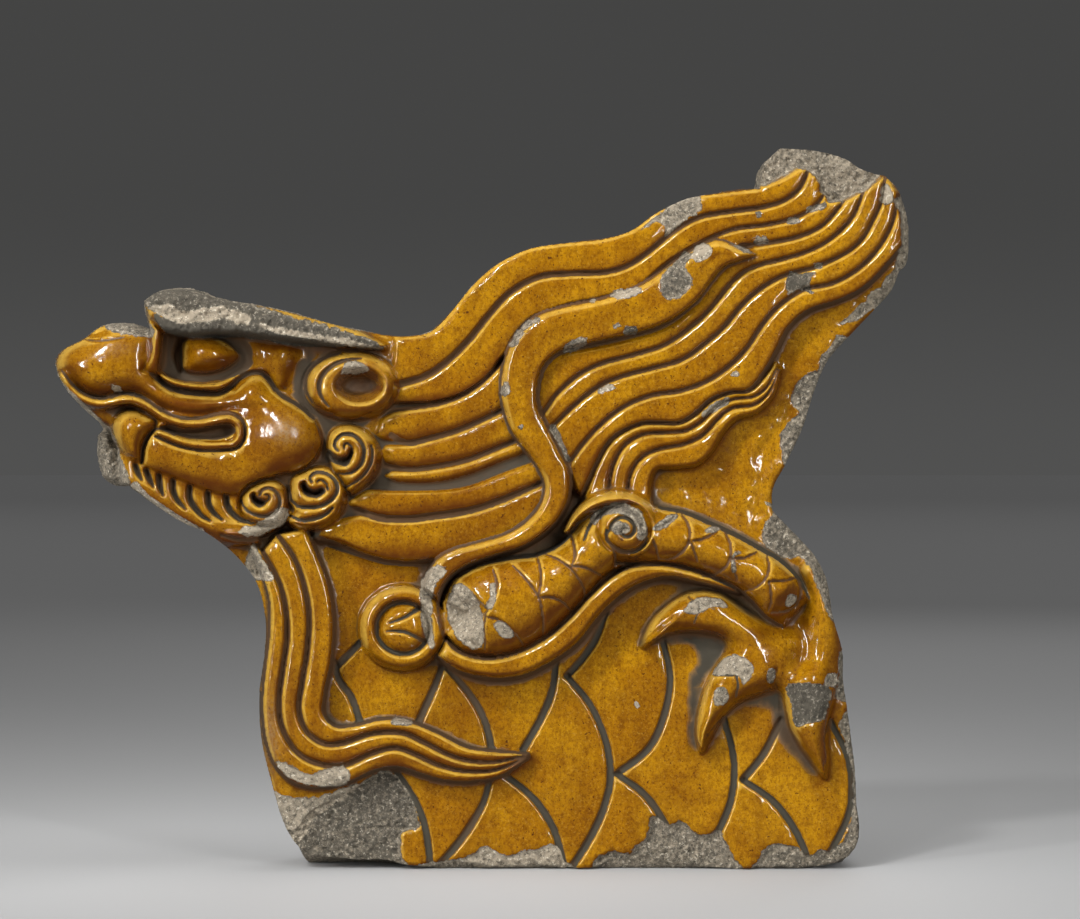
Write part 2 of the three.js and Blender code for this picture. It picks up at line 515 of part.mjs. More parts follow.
const COLLAR = [[-130, 166], [-120, 166.5], [-108, 171], [-97, 178], [-84, 182]];

// The fingers of the jaw's fringe stand side by side between two lines, each bowed a little.
function buildComb() {
  const top = smoothCurve(COMB.top);
  const foot = smoothCurve(COMB.foot);
  return Array.from({ length: COMB.fingers }, (_, i) => {
    const { x: u, y: v } = top.getPointAt(i / (COMB.fingers - 1));
    const { x: fu, y: fv } = foot.getPointAt(i / (COMB.fingers - 1));
    const path = [[u, v], [mix(u, fu, 0.5) - COMB.bow, mix(v, fv, 0.5)], [fu + COMB.bow, fv - 1]];
    return band(path, [COMB.width, COMB.width], 3,
      { crest: RISE.comb, edge: 8, across: 2, fade: [0.1, 0.3] });
  });
}

function buildHead() {
  const spirals = CURLS.map(({ centre, radii, from, to, widths }) => {
    const [left, right] = edgesOf(spiral(centre, radii, from, to, 22), widths);
    return lock(left, right, { crest: RISE.curl, edge: 14, across: 3, fade: [0.05, 0.1] });
  });
  const bosses = CURLS.map(({ centre }) => dome(ellipse(centre, [4, 4]), centre,
    { crest: RISE.curl - 2, edge: 14, count: 8, rings: 2 }));
  const earLoop = arc(EAR.centre, EAR.ring, 200, 560, 22);
  return [
    plate(HEAD_GROUND, BURIED, RISE.head),
    dome(SNOUT.outline, SNOUT.centre, { crest: RISE.snout, edge: 8, count: 22 }),
    pairedLock(MUZZLE.left, MUZZLE.right, 12, { crest: RISE.muzzle, edge: 14, power: 2 }),
    dome(CHEEK.outline, CHEEK.centre, { crest: RISE.cheek, edge: 14, count: 20 }),
    dome(JAW.outline, JAW.centre, { crest: RISE.jaw, edge: 14, count: 20 }),
    band(LIP.path, LIP.widths, 34, { crest: RISE.lip, edge: 16, across: 3 }),
    dome(FANG.outline, FANG.centre, { crest: RISE.fang, edge: 16, count: 14 }),
    dome(ellipse(EYE.centre, EYE.radii), EYE.centre, { crest: RISE.eye, edge: 14, count: 16 }),
    band(LOWER_LID, [3, 4.5, 3], 9, { crest: RISE.lid, edge: 12, across: 3 }),
    pairedLock(BROW.left, BROW.right, 14, { crest: RISE.brow, edge: 26, across: 4, power: 6,
      fade: [0, 0.35] }),
    band(BROW_PILLAR, [7, 7, 5], 6, { crest: RISE.lid + 6, edge: 14, across: 3 }),
    lock(...edgesOf(earLoop, [EAR.ringWidth, EAR.ringWidth]), { crest: RISE.ear, edge: 14 }),
    dome(ellipse(EAR.curl, [5.5, 5]), EAR.curl, { crest: RISE.ear - 5, edge: 14, count: 10, rings: 2 }),
    dome(CHIN_LUMP.outline, CHIN_LUMP.centre, { crest: 7, edge: -4, count: 12 }),
    band(COLLAR, [4, 8, 6], 8, { crest: RISE.comb - 2, edge: 8, across: 3 }),
    ...spirals,
    ...bosses,
    ...buildComb(),
  ];
}

// ---------------------------------------------------------------- the tile

function asMesh(name, solid, material) {
  const { vertProperties, triVerts } = solid.getMesh();
  const geometry = new THREE.BufferGeometry();
  geometry.setAttribute('position', new THREE.BufferAttribute(new Float32Array(vertProperties), 3));
  geometry.setIndex(new THREE.BufferAttribute(new Uint32Array(triVerts), 1));
  geometry.computeVertexNormals();
  const mesh = new THREE.Mesh(geometry, material);
  mesh.name = name;
  return mesh;
}

const amberGlaze = new THREE.MeshStandardMaterial({ color: 0x9d6a12, roughness: 0.25, metalness: 0 });
const carving = [...buildMane(), ...buildRibbons(), ...buildForeleg(), ...buildHead()];
const tile = carving.reduce((solid, piece) => solid.add(piece), buildPanel());

const ornament = new THREE.Group();
ornament.add(asMesh('dragon_ridge_tile', tile, amberGlaze));

export default ornament;
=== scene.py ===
"""A glazed roof-ridge tile with a dragon in high relief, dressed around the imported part.

A plan point is across + up * 1j in millimetres on the front of the plain panel, and a rise is how far the
surface stands out of that front. One closed mesh stands for the whole tile: its front is a height field
that each sub-assembly carves in turn, its edge is a wall down to the back, and its back is flat.
"""

import logging
import math
from dataclasses import dataclass, field
from enum import Enum
from typing import Sequence, Union

import bmesh
import bpy
import numpy as np
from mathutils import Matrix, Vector
from mathutils.geometry import delaunay_2d_cdt


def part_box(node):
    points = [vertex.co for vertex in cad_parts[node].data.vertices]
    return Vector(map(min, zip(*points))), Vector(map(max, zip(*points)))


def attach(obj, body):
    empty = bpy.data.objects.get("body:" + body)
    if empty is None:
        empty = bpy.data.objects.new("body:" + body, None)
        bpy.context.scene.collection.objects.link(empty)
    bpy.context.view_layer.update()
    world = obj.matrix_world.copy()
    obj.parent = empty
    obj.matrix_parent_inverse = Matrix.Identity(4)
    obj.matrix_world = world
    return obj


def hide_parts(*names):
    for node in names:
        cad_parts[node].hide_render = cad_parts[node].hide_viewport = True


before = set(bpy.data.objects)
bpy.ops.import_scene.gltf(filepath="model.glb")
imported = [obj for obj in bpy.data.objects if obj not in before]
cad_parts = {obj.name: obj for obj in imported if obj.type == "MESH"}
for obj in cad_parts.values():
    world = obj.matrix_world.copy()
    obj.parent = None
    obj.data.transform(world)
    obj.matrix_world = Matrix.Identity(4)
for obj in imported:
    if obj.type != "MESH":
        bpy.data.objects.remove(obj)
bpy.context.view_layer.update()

LOG = logging.getLogger("ridge_tile")
NODE = "dragon_ridge_tile"
BODY = "root"
MM = 0.001
PANEL_DEPTH = 60.0  # back to the front of the plain panel
DRAFT_RUN = 1600.0  # the relief draws in by rise / DRAFT_RUN towards MIDDLE
MIDDLE = (28.5, 205.25)
PITCH = 0.62  # spacing of the height field's points
TRIANGLES = 196_000
SEED = 11

Array = np.ndarray
Point = tuple[float, float]
Line = Union[Sequence[complex], Array]  # across + up * 1j each, or rows already cut into steps
Window = tuple[slice, slice]
Colour = tuple[float, float, float]


# ---------- lines and smooth steps


def smooth_line(points: Line, step: float = 1.5, closed: bool = False) -> Array:
    """A centripetal Catmull-Rom curve through the points, cut into even steps.

    Each span is the pyramid of straight blends between its four nearest points, with knots spaced by
    the square root of the distance between points.

    Args:
        points: Plan points on the curve, as complex numbers.
        step: Length of the pieces in millimetres.
        closed: Whether the curve returns to its first point.

    Returns:
        Plan points, one row of across and up each.
    """
    p = np.column_stack([np.real(points), np.imag(points)])
    p = np.vstack([p[-1:], p, p[:2]]) if closed else np.vstack([2 * p[0] - p[1], p, 2 * p[-1] - p[-2]])
    knot = np.concatenate([[0.0], np.cumsum(np.sqrt(np.linalg.norm(np.diff(p, axis=0), axis=1)) + 1e-9)])
    k = [knot[i : len(knot) - 3 + i, None] for i in range(4)]
    c = [p[i : len(p) - 3 + i, None, :] for i in range(4)]
    t = k[1] + np.linspace(0, 1, 16, endpoint=False) * (k[2] - k[1])

    def blend(a: Array, b: Array, ka: Array, kb: Array) -> Array:
        """The straight blend of a and b as t runs from ka to kb."""
        return (a * (kb - t)[..., None] + b * (t - ka)[..., None]) / (kb - ka)[..., None]

    a1, a2, a3 = (blend(c[i], c[i + 1], k[i], k[i + 1]) for i in range(3))
    b1, b2 = blend(a1, a2, k[0], k[2]), blend(a2, a3, k[1], k[3])
    curve = np.vstack([blend(b1, b2, k[1], k[2]).reshape(-1, 2), p[-2]])
    return even_steps(curve, step)


def traced(line: Line, closed: bool = False) -> Array:
    """A line that is already cut into steps as it is, and the smooth curve through plan points."""
    return line if isinstance(line, np.ndarray) else smooth_line(line, closed=closed)


def even_steps(line: Array, step: float) -> Array:
    """The same line cut into equal pieces of about the given length."""
    run = np.concatenate([[0.0], np.cumsum(np.linalg.norm(np.diff(line, axis=0), axis=1))])
    at = np.linspace(0, run[-1], max(int(run[-1] / step), 2) + 1)
    return np.column_stack([np.interp(at, run, line[:, 0]), np.interp(at, run, line[:, 1])])


def ellipse(centre: Point, radii: Point, start: float = 0.0, turn: float = 360.0) -> Array:
    """An elliptical arc that starts at an angle in degrees and turns by another."""
    angle = np.radians(start + turn * np.linspace(0, 1, 61))
    return np.column_stack([centre[0] + radii[0] * np.cos(angle), centre[1] + radii[1] * np.sin(angle)])


def eased(value: Array, low: float, high: float) -> Array:
    """A smooth step: 0 below low, 1 above high, 3t^2 - 2t^3 between them."""
    t = np.clip((value - low) / (high - low), 0, 1)
    return t * t * (3 - 2 * t)


def quarter(share: Array) -> Array:
    """A quarter circle: 0 at 0 and 1 from 1 on."""
    return np.sqrt(np.clip(1 - (1 - np.clip(share, 0, 1)) ** 2, 0, 1))


# ---------- the height field


@dataclass
class Reach:
    """How the points of a window of the field lie to a line."""

    window: Window
    distance: Array
    along: Array
    side: Array
    foot: Array


class Relief:
    """The front of the tile as fields over the plan: its rise and what covers it."""

    def __init__(self, low: Point, high: Point, pitch: float) -> None:
        """Lays an even grid of points over the plan.

        Args:
            low: Lowest plan point.
            high: Highest plan point.
            pitch: Spacing of the points.
        """
        self.pitch = pitch
        self.u = np.arange(low[0], high[0] + pitch, pitch)
        self.v = np.arange(low[1], high[1] + pitch, pitch)
        shape = (len(self.v), len(self.u))
        self.rise = np.zeros(shape)
        self.bare = np.full(shape, -9.0)
        self.pale = np.zeros(shape)
        self.grime = np.zeros(shape)
        # browner glaze: real stains, and painted shade along lower edges, under overhangs and in grooves
        self.stain_and_painted_shade = np.zeros(shape)
        self.worn = np.zeros(shape)
        self.rim = np.full(shape, 12.0)
        random = np.random.default_rng(SEED)
        self.coarse = self.grain(random, 11.0)
        self.middle = self.grain(random, 3.6)
        self.fine = self.grain(random, 1.7)

    def grain(self, random: np.random.Generator, size: float) -> Array:
        """Smooth value noise between -1 and 1, three octaves.

        Each octave draws random values on a square lattice and blends the four round a point by
        smooth steps; the next octave is half the size and half the strength.

        Args:
            random: Source of the lattice values.
            size: Lattice spacing of the first octave in millimetres.

        Returns:
            The noise at every point of the field.
        """
        total = np.zeros(self.rise.shape if hasattr(self, "rise") else (len(self.v), len(self.u)))
        for octave in range(3):
            spacing, weight = size / 2**octave, 0.55**octave
            cu, cv = (self.u - self.u[0]) / spacing, (self.v - self.v[0]) / spacing
            iu, iv = cu.astype(int), cv.astype(int)
            fu, fv = eased(cu - iu, 0, 1)[None, :], eased(cv - iv, 0, 1)[:, None]
            lattice = random.uniform(-1, 1, (iv[-1] + 2, iu[-1] + 2))
            rows0, rows1 = lattice[iv], lattice[iv + 1]
            low = rows0[:, iu] * (1 - fu) + rows0[:, iu + 1] * fu
            high = rows1[:, iu] * (1 - fu) + rows1[:, iu + 1] * fu
            total += weight * (low * (1 - fv) + high * fv)
        return total / 1.4

    def window(self, line: Array, margin: float) -> Window:
        """The rows and columns within a margin of a line's box."""
        low, high = line.min(0) - margin, line.max(0) + margin
        rows = slice(*np.searchsorted(self.v, (low[1], high[1])))
        cols = slice(*np.searchsorted(self.u, (low[0], high[0])))
        return rows, cols

    def reach(self, line: Line, margin: float) -> Reach:
        """Measures every point within a margin of a line against its straight pieces.

        A piece only touches the points in its own box, so the work follows the line. A point keeps the
        nearest piece: its distance, its share of the line's length, the side it lies on (1 on the left
        of the line's direction) and the foot of its perpendicular.

        Args:
            line: Plan points of the line.
            margin: Greatest distance that is told apart.

        Returns:
            The measures over the line's window.
        """
        line = traced(line)
        rows, cols = self.window(line, margin)
        u, v = self.u[cols], self.v[rows]
        shape = (len(v), len(u))
        best = np.full(shape, margin * margin)
        along, side, foot = np.zeros(shape), np.ones(shape), np.zeros((*shape, 2))
        lengths = np.linalg.norm(np.diff(line, axis=0), axis=1)
        runs = np.concatenate([[0.0], np.cumsum(lengths)])
        for a, b, run, length in zip(line[:-1], line[1:], runs, lengths):
            low, high = np.minimum(a, b) - margin, np.maximum(a, b) + margin
            r = slice(*np.searchsorted(v, (low[1], high[1])))
            c = slice(*np.searchsorted(u, (low[0], high[0])))
            du, dv = (u[c] - a[0])[None, :], (v[r] - a[1])[:, None]
            e = (b - a) / max(length, 1e-9)
            t = np.clip(du * e[0] + dv * e[1], 0, length)
            ru, rv = du - t * e[0], dv - t * e[1]
            square = ru * ru + rv * rv
            near = square < best[r, c]
            best[r, c] = np.where(near, square, best[r, c])
            along[r, c] = np.where(near, (run + t) / runs[-1], along[r, c])
            side[r, c] = np.where(near, np.where(e[0] * dv - e[1] * du >= 0, 1.0, -1.0), side[r, c])
            foot[r, c, 0] = np.where(near, a[0] + t * e[0], foot[r, c, 0])
            foot[r, c, 1] = np.where(near, a[1] + t * e[1], foot[r, c, 1])
        return Reach((rows, cols), np.sqrt(best), along, side, foot)

    def within(self, outline: Array, window: Window) -> Array:
        """Whether each point of a window is inside a closed outline, by counting its crossings."""
        rows, cols = window
        u, v = self.u[cols], self.v[rows]
        inside = np.zeros((len(v), len(u)), bool)
        for a, b in zip(outline, np.roll(outline, -1, axis=0)):
            if a[1] == b[1]:
                continue
            r = slice(*np.searchsorted(v, sorted((a[1], b[1]))))
            crossing = a[0] + (v[r] - a[1]) * (b[0] - a[0]) / (b[1] - a[1])
            inside[r] ^= u[None, :] < crossing[:, None]
        return inside

    def depth_in(self, outline: Line, margin: float) -> tuple[Window, Array]:
        """Signed distance to a closed outline, positive inside and cut off at the margin."""
        outline = traced(outline, closed=True)
        reach = self.reach(np.vstack([outline, outline[:1]]), margin)
        inside = self.within(outline, reach.window)
        return reach.window, np.where(inside, reach.distance, -reach.distance)

    def blurred(self, values: Array, radius: float) -> Array:
        """Values under a Gaussian of the given standard deviation, rows first and then columns."""
        taps = max(int(2.6 * radius / self.pitch), 1)
        weights = np.exp(-0.5 * (np.arange(-taps, taps + 1) * self.pitch / radius) ** 2)
        weights /= weights.sum()
        for axis in (0, 1):
            pad = [(taps, taps) if a == axis else (0, 0) for a in (0, 1)]
            wide = np.pad(values, pad, mode="edge")
            count = values.shape[axis]
            values = sum(w * np.take(wide, range(i, i + count), axis) for i, w in enumerate(weights))
        return values

    def lay(self, window: Window, surface: Array, weight: Array, over: bool) -> None:
        """Blends a surface into the rise, over what is there or only where it stands higher."""
        now = self.rise[window]
        target = surface if over else np.maximum(now, surface)
        self.grime[window] *= 1 - weight * (target > now + 0.3)
        self.rise[window] = now + (target - now) * weight

    def sampled(self, values: Array, u: Array, v: Array) -> Array:
        """A field's values at any plan points, the field being repeated beyond its own box."""
        cols = ((u - self.u[0]) / self.pitch).astype(int) % values.shape[1]
        rows = ((v - self.v[0]) / self.pitch).astype(int) % values.shape[0]
        return values[rows, cols]

    def swell(self, outline: Line, crest: float, edge: float, shoulder: float, soft: float = 1.3,
              soften: float = 0.0, over: bool = True) -> None:
        """Raises a pillow over a closed outline.

        Its rise is edge + (crest - edge) * sqrt(1 - (1 - d / shoulder)^2), where d is the distance in
        from the outline, and it is flat beyond the shoulder.

        Args:
            outline: Closed outline.
            crest: Rise of its top.
            edge: Rise at the outline.
            shoulder: Width of the rounded margin.
            soft: Width of the blend with what is outside.
            soften: Radius that the top is blurred by, to take out its creases.
            over: Whether it covers what is there, instead of only what is lower.
        """
        window, d = self.depth_in(outline, shoulder + 3 * soft + 1)
        fall = 1 - np.clip(d / shoulder, 0, 1)
        crown = np.sqrt(np.clip(1 - fall * fall, 0, 1))
        if soften > 0:
            crown = self.blurred(crown, soften)
        self.lay(window, edge + (crest - edge) * crown, eased(d, -soft, soft * 0.4), over)

    def lock(self, upper: Line, lower: Line, crest: float, edge: float, bevels: Point = (4.2, 2.4),
             dome: float = 0.6, fade: Point = (0, 0), soft: float = 0.8, over: bool = True) -> None:
        """Lays a lock of hair or a ribbon between two edge lines.

        Its rise is edge + (crest - edge) * a * b * fullness + dome * 4s(1 - s), where a and b are quarter
        circles over the bevel beside each line, s is the share of the way across, and the fullness is a
        quarter circle over the stated shares of the length at each end. A bevel is never wider than
        half the lock, so great bevels make it round.

        Args:
            upper: The line on its upper side, from root to tip.
            lower: The line on its lower side, from root to tip.
            crest: Rise of its flat.
            edge: Rise at its two lines.
            bevels: Widths of its upper and of its lower bevel.
            dome: How much its middle stands above its flat.
            fade: Shares of its length over which it grows from its root and sinks to its tip.
            soft: Width of the blend with its neighbours.
            over: Whether it covers what is there, instead of only what is lower.
        """
        upper, lower = traced(upper), traced(lower)
        window, d = self.depth_in(np.vstack([upper, lower[::-1]]), 2 * soft + 1)
        up, down = (self.reach(line, 60.0) for line in (upper, lower))
        du, dd, tu, td = (self.cropped(r, window, f) for f in ("distance", "along") for r in (up, down))
        across = np.maximum(du + dd, 1e-6)
        half = across / 2
        crown = quarter(du / np.minimum(bevels[0], half)) * quarter(dd / np.minimum(bevels[1], half))
        t = (tu + td) / 2
        root = quarter(t / fade[0]) if fade[0] else 1.0
        tip = quarter((1 - t) / fade[1]) if fade[1] else 1.0
        full = np.minimum(root, tip)
        rise = edge + (crest - edge) * crown * full + dome * 4 * du * dd / across**2 * full
        self.lay(window, rise, eased(d, -soft, soft * 0.3), over)

    @staticmethod
    def cropped(reach: Reach, window: Window, name: str) -> Array:
        """One measure of a reach, cut to a smaller window that lies within its own."""
        rows, cols = (slice(w.start - r.start, w.stop - r.start) for w, r in zip(window, reach.window))
        return getattr(reach, name)[rows, cols]

    def bead(self, path: Line, widths: Sequence[float], crest: float, edge: float, power: float = 2.0,
             lean: float = 0.0, soft: float = 0.9, over: bool = True) -> None:
        """Lays a round bead along a path: edge + (crest - edge) * (1 - |x|^power), x from -1 to 1 across.

        Args:
            path: Middle line.
            widths: Widths at even stops along the path.
            crest: Rise of its ridge.
            edge: Rise at its sides.
            power: Roundness of its section.
            lean: How far the ridge leans to the left of the path, as a share of the half width.
            soft: Width of the blend with its neighbours.
            over: Whether it covers what is there, instead of only what is lower.
        """
        r = self.reach(path, max(widths) / 2 + 2 * soft)
        half = np.interp(r.along, np.linspace(0, 1, len(widths)), widths) / 2
        x = r.distance / half
        left = r.side > 0
        x = np.where(left, np.abs(x - lean) / (1 - lean), (x + lean) / (1 + lean)) if lean else x
        crown = 1 - np.clip(x, 0, 1) ** power
        weight = 1 - eased(r.distance - half, -0.3 * soft, soft)
        self.lay(r.window, edge + (crest - edge) * crown, weight, over)

    def groove(self, path: Line, widths: Sequence[float], depth: float, dirt: float = 0.0,
               flat: float = 0.3, step: float = 0.0, spread: float = 6.0, brown: float = 0.0) -> None:
        """Cuts a groove along a path, with a flat floor and sloped sides.

        Args:
            path: Middle line.
            widths: Widths at even stops along the path.
            depth: Depth of its floor.
            dirt: How much grime its floor holds, from 0 to 1.
            flat: Share of its width that is floor.
            step: How much higher the left side stands at the groove, as where one scale laps another.
            spread: Width over which that step dies out.
            brown: How brown its floor is, from 0 to 1; the brown is painted shade in the groove.
        """
        r = self.reach(path, max(max(widths), spread if step else 0) + 1)
        half = np.interp(r.along, np.linspace(0, 1, len(widths)), widths) / 2
        share = r.distance / half
        if step:
            lap = np.clip(1 - r.distance / spread, 0, 1) ** 2
            self.rise[r.window] += step * lap * np.where(r.side > 0, 1.0, -0.3)
        self.rise[r.window] -= depth * (1 - eased(share, flat, 1.12))
        floor = 1 - eased(share + 0.12 * self.fine[r.window], 0.66, 1.0)
        self.grime[r.window] = np.maximum(self.grime[r.window], dirt * floor)
        # painted shade: brown on the groove's floor
        self.stain_and_painted_shade[r.window] = np.maximum(self.stain_and_painted_shade[r.window], brown * floor)

    def soften(self, outline: Line, radius: float, margin: float = 3.0) -> None:
        """Melts the rise inside a closed outline into its Gaussian blur, over a soft margin."""
        window, d = self.depth_in(outline, 2 * margin)
        now = self.rise[window]
        self.rise[window] = now + (self.blurred(now, radius) - now) * eased(d, -margin, margin)

    def dust(self, outline: Line, amount: float, soft: float = 2.5) -> None:
        """Leaves matt grime inside a closed outline, fading over a soft margin."""
        window, d = self.depth_in(outline, 2 * soft)
        soil = amount * eased(d + 0.8 * self.middle[window], -soft, soft)
        self.grime[window] = np.maximum(self.grime[window], soil)

    def blot(self, name: str, centre: Point, radii: Point, amount: float, turn: float = 0.0) -> None:
        """Adds amount * exp(-r^2) to a field, r the distance in shares of two turned radii."""
        angle = math.radians(turn)
        du, dv = (self.u - centre[0])[None, :], (self.v - centre[1])[:, None]
        x = (du * math.cos(angle) + dv * math.sin(angle)) / radii[0]
        y = (dv * math.cos(angle) - du * math.sin(angle)) / radii[1]
        values = getattr(self, name)
        values += amount * np.exp(-(x * x + y * y))

    def scoop(self, outline: Line, floor: float, shoulder: float, soft: float = 1.0) -> None:
        """Hollows a closed outline down to a floor, with sides rounded over the shoulder."""
        window, d = self.depth_in(outline, shoulder + 2 * soft)
        share = eased(d, -soft, shoulder)
        now = self.rise[window]
        self.rise[window] = now + (np.minimum(now, floor) - now) * share

    def chip(self, outline: Line, depth: float, pale: float = 0.3, level: Union[float, None] = None,
             rough: float = 0.8, wander: float = 1.3) -> None:
        """Breaks a patch of glaze and clay away and leaves the clay bare.

        Args:
            outline: Closed outline of the patch.
            depth: How deep it is broken.
            pale: How light its clay is, from 0 to 1.
            level: Rise that it is broken down to; left out, it follows the surface.
            rough: Height of its roughness.
            wander: How far its edge strays from the outline.
        """
        window, d = self.depth_in(outline, 9.0)
        d = d + wander * (0.6 * self.middle[window] + 0.7 * self.fine[window])
        inner = eased(d, -0.3, 1.2)
        now = self.rise[window]
        base = now - depth if level is None else np.minimum(now, level)
        texture = rough * (0.9 * self.middle[window] + 0.9 * self.fine[window] + 0.5 * self.coarse[window])
        self.rise[window] = now + (base + texture - now) * inner
        self.bare[window] = np.maximum(self.bare[window], d)
        lip = 0.4 * eased(d, -0.4, 0.3) * (1 - eased(d, 0.7, 1.9))
        self.pale[window] += (pale + lip - self.pale[window]) * inner
        self.grime[window] *= 1 - inner


# ---------- the panel


@dataclass
class Panel:
    """The silhouette-cut slab and the overlapping scales cut into it."""

    rim_radius: float = 3.2
    scale_groove: float = 3.9
    scale_depth: float = 1.9
    stretches: tuple[Line, ...] = (
        (-169.5+284.3j, -168+277.5j, -166+270j),
        (-166+270j, -177+273j, -189+272.4j, -200+265j, -209.5+260j, -213.2+254j, -211.5+246j, -203+234j,
         -192+224.2j),
        (-192+224.2j, -190.7+220.6j, -193+216.5j, -193+204j, -189.5+195.5j, -183+192j, -177+192.5j),
        (-177+192.5j, -163+182j, -150+173.7j, -139+169j, -125.3+158.7j, -113.8+144.4j, -109.2+127.5j,
         -109.2+110j, -112+88j, -111+66j, -106+44j, -100+24j, -94+13j, -87+7.3j),
        (-87+7.3j, -64+5j, -48+4.6j, -38+2j, -24+1.6j, -13+3.8j, -2+1.6j, 14+1.4j, 28+2.2j, 42+0.6j, 55+1j,
         64+5j, 86+6j, 104+3.2j, 118+1j, 130+0.3j, 150+0.5j, 168+1.4j, 177+3.2j, 183+6.4j),
        (183+6.4j, 187+12j, 188.6+20j, 187.2+32j, 186.5+48j, 183.6+72j, 180.4+94j, 180+108j, 174.5+128j,
         171.5+146j, 166+157j, 154+170j, 145+179.5j),
        (145+179.5j, 145+190j, 152+204j, 160+221j, 166+240j, 173+255.5j, 187+271j, 197+281.5j, 205+291j,
         208.5+300j),
        (208.5+300j, 211.5+302.5j, 213.2+315j, 211.8+329j, 207+340.5j, 201+347j),
        (201+347j, 190+350.5j, 181+356j, 166+360j, 149+361.2j), (149+361.2j, 141+354j),
        (141+354j, 138.5+340.7j),
        (138.5+340.7j, 118+338.3j, 102+335.6j, 87+328.5j, 74+319.6j, 61+315.6j, 41+313.4j, 23+310.4j,
         7+302.7j, -6+291.2j, -16+278.8j, -26+269.2j, -40+266.7j, -59+269j, -80+274.2j, -105+280.7j,
         -135+286.2j),
        (-135+286.2j, -141+289.2j, -150+290.4j, -163+288.7j, -169.5+284.3j),
    )
    scales: tuple[Line, ...] = (
        (-74.6+104j, -72+95j, -66+86.5j, -61+72j), (-58+117j, -65+110j, -72.5+102.5j),
        (-19.7+104j, -24.6+91j, -30+79j, -34+70j), (-18+101j, -6+87j, 1+74j, 5+57j),
        (-46+52j, -37.7+41j, -30+25j, -25.7-2j), (4+48j, 0+33.5j, -9+18j, -22+2j),
        (37+110j, 34.5+90j, 30+78j, 20+60j), (63+136j, 57+117j, 50+106j, 42+97j),
        (42+97j, 54+82j, 62+62j, 63.6+45j, 60+30j, 53+15j, 43-1j), (9+49j, 25+36j, 35+21j, 41+0j),
        (89+118j, 93.5+97j, 91+79j, 83+61j, 67+48j), (67+48j, 82+36.5j, 97+13j),
        (118+84j, 125.4+55j, 124+35j, 113+9j), (149+75j, 140+57.5j, 130+45j),
        (130+45j, 145+34.5j, 156+20j, 164+2j), (174+74j, 183+54j, 183.5+30j, 173+7j),
    )
    hollow: Line = (
        88+196j, 86+187j, 101+182j, 113+177j, 126+171.5j, 136+166j, 146+178j, 146+191j, 153+205j, 161+222j,
        166+238j, 158+246j, 148+248j, 143+235j, 137+226j, 127+223j, 121+216j, 115+206j, 107+200.5j, 96+199j,
    )

    def outline(self) -> Array:
        """The whole silhouette as one closed line, with corners where its stretches meet."""
        return np.vstack([smooth_line(points, 1.0)[:-1] for points in self.stretches])

    def carve(self, relief: Relief) -> None:
        """Swells the scales a little and cuts their outlines and the smooth hollow on the right.

        Args:
            relief: The height field.
        """
        relief.rise += 0.45 * relief.coarse + 0.06 * relief.middle
        for points in self.scales:
            relief.groove(points, [self.scale_groove * 0.8, self.scale_groove, self.scale_groove],
                          self.scale_depth, dirt=1.0, flat=0.66)
        relief.scoop(self.hollow, -3.0, 14.0, soft=2.0)
        relief.bead([133+168j, 131+183j, 133+198j, 134+212j, 143+221j],
                    [8, 16, 16, 8], -1.4, -3.0, power=1.5, soft=8.0, over=False)
        crinkled, d = relief.depth_in(self.hollow, 8.0)
        relief.rise[crinkled] += 0.46 * relief.middle[crinkled] * eased(d, 0, 8)
        for centre, radii, amount in (((-12, 84), (16, 20), 0.45), ((-64, 96), (10, 12), 0.4),
                                      ((-36, 74), (10, 8), 0.35), ((150, 66), (14, 12), 0.4),
                                      ((100, 60), (12, 26), 0.25), ((44, 48), (12, 26), 0.25),
                                      ((-6, 22), (10, 12), 0.4), ((96, 36), (14, 8), 0.3)):
            relief.blot("stain_and_painted_shade", centre, radii, amount)
        relief.blot("rise", (-62, 128), (16, 30), -1.6)
        relief.blot("rise", (82, 118), (26, 16), -1.4, turn=20)

    def round_rim(self, relief: Relief, outline: Array) -> None:
        """Measures how far each point is from the silhouette and rounds the front off towards it.

        The rim falls by radius - sqrt(radius^2 - (radius - d)^2) within its radius of the edge.

        Args:
            relief: The height field.
            outline: The silhouette.
        """
        window, d = relief.depth_in(outline, 12.0)
        relief.rim[:] = -12.0
        relief.rim[window] = d
        r = self.rim_radius + 1.2 * relief.coarse
        short = np.clip(r - np.clip(relief.rim, 0, None), 0, r)
        relief.rise -= 0.9 * (r - np.sqrt(np.clip(r * r - short * short, 0, None)))


# ---------- mane, ribbon and beard


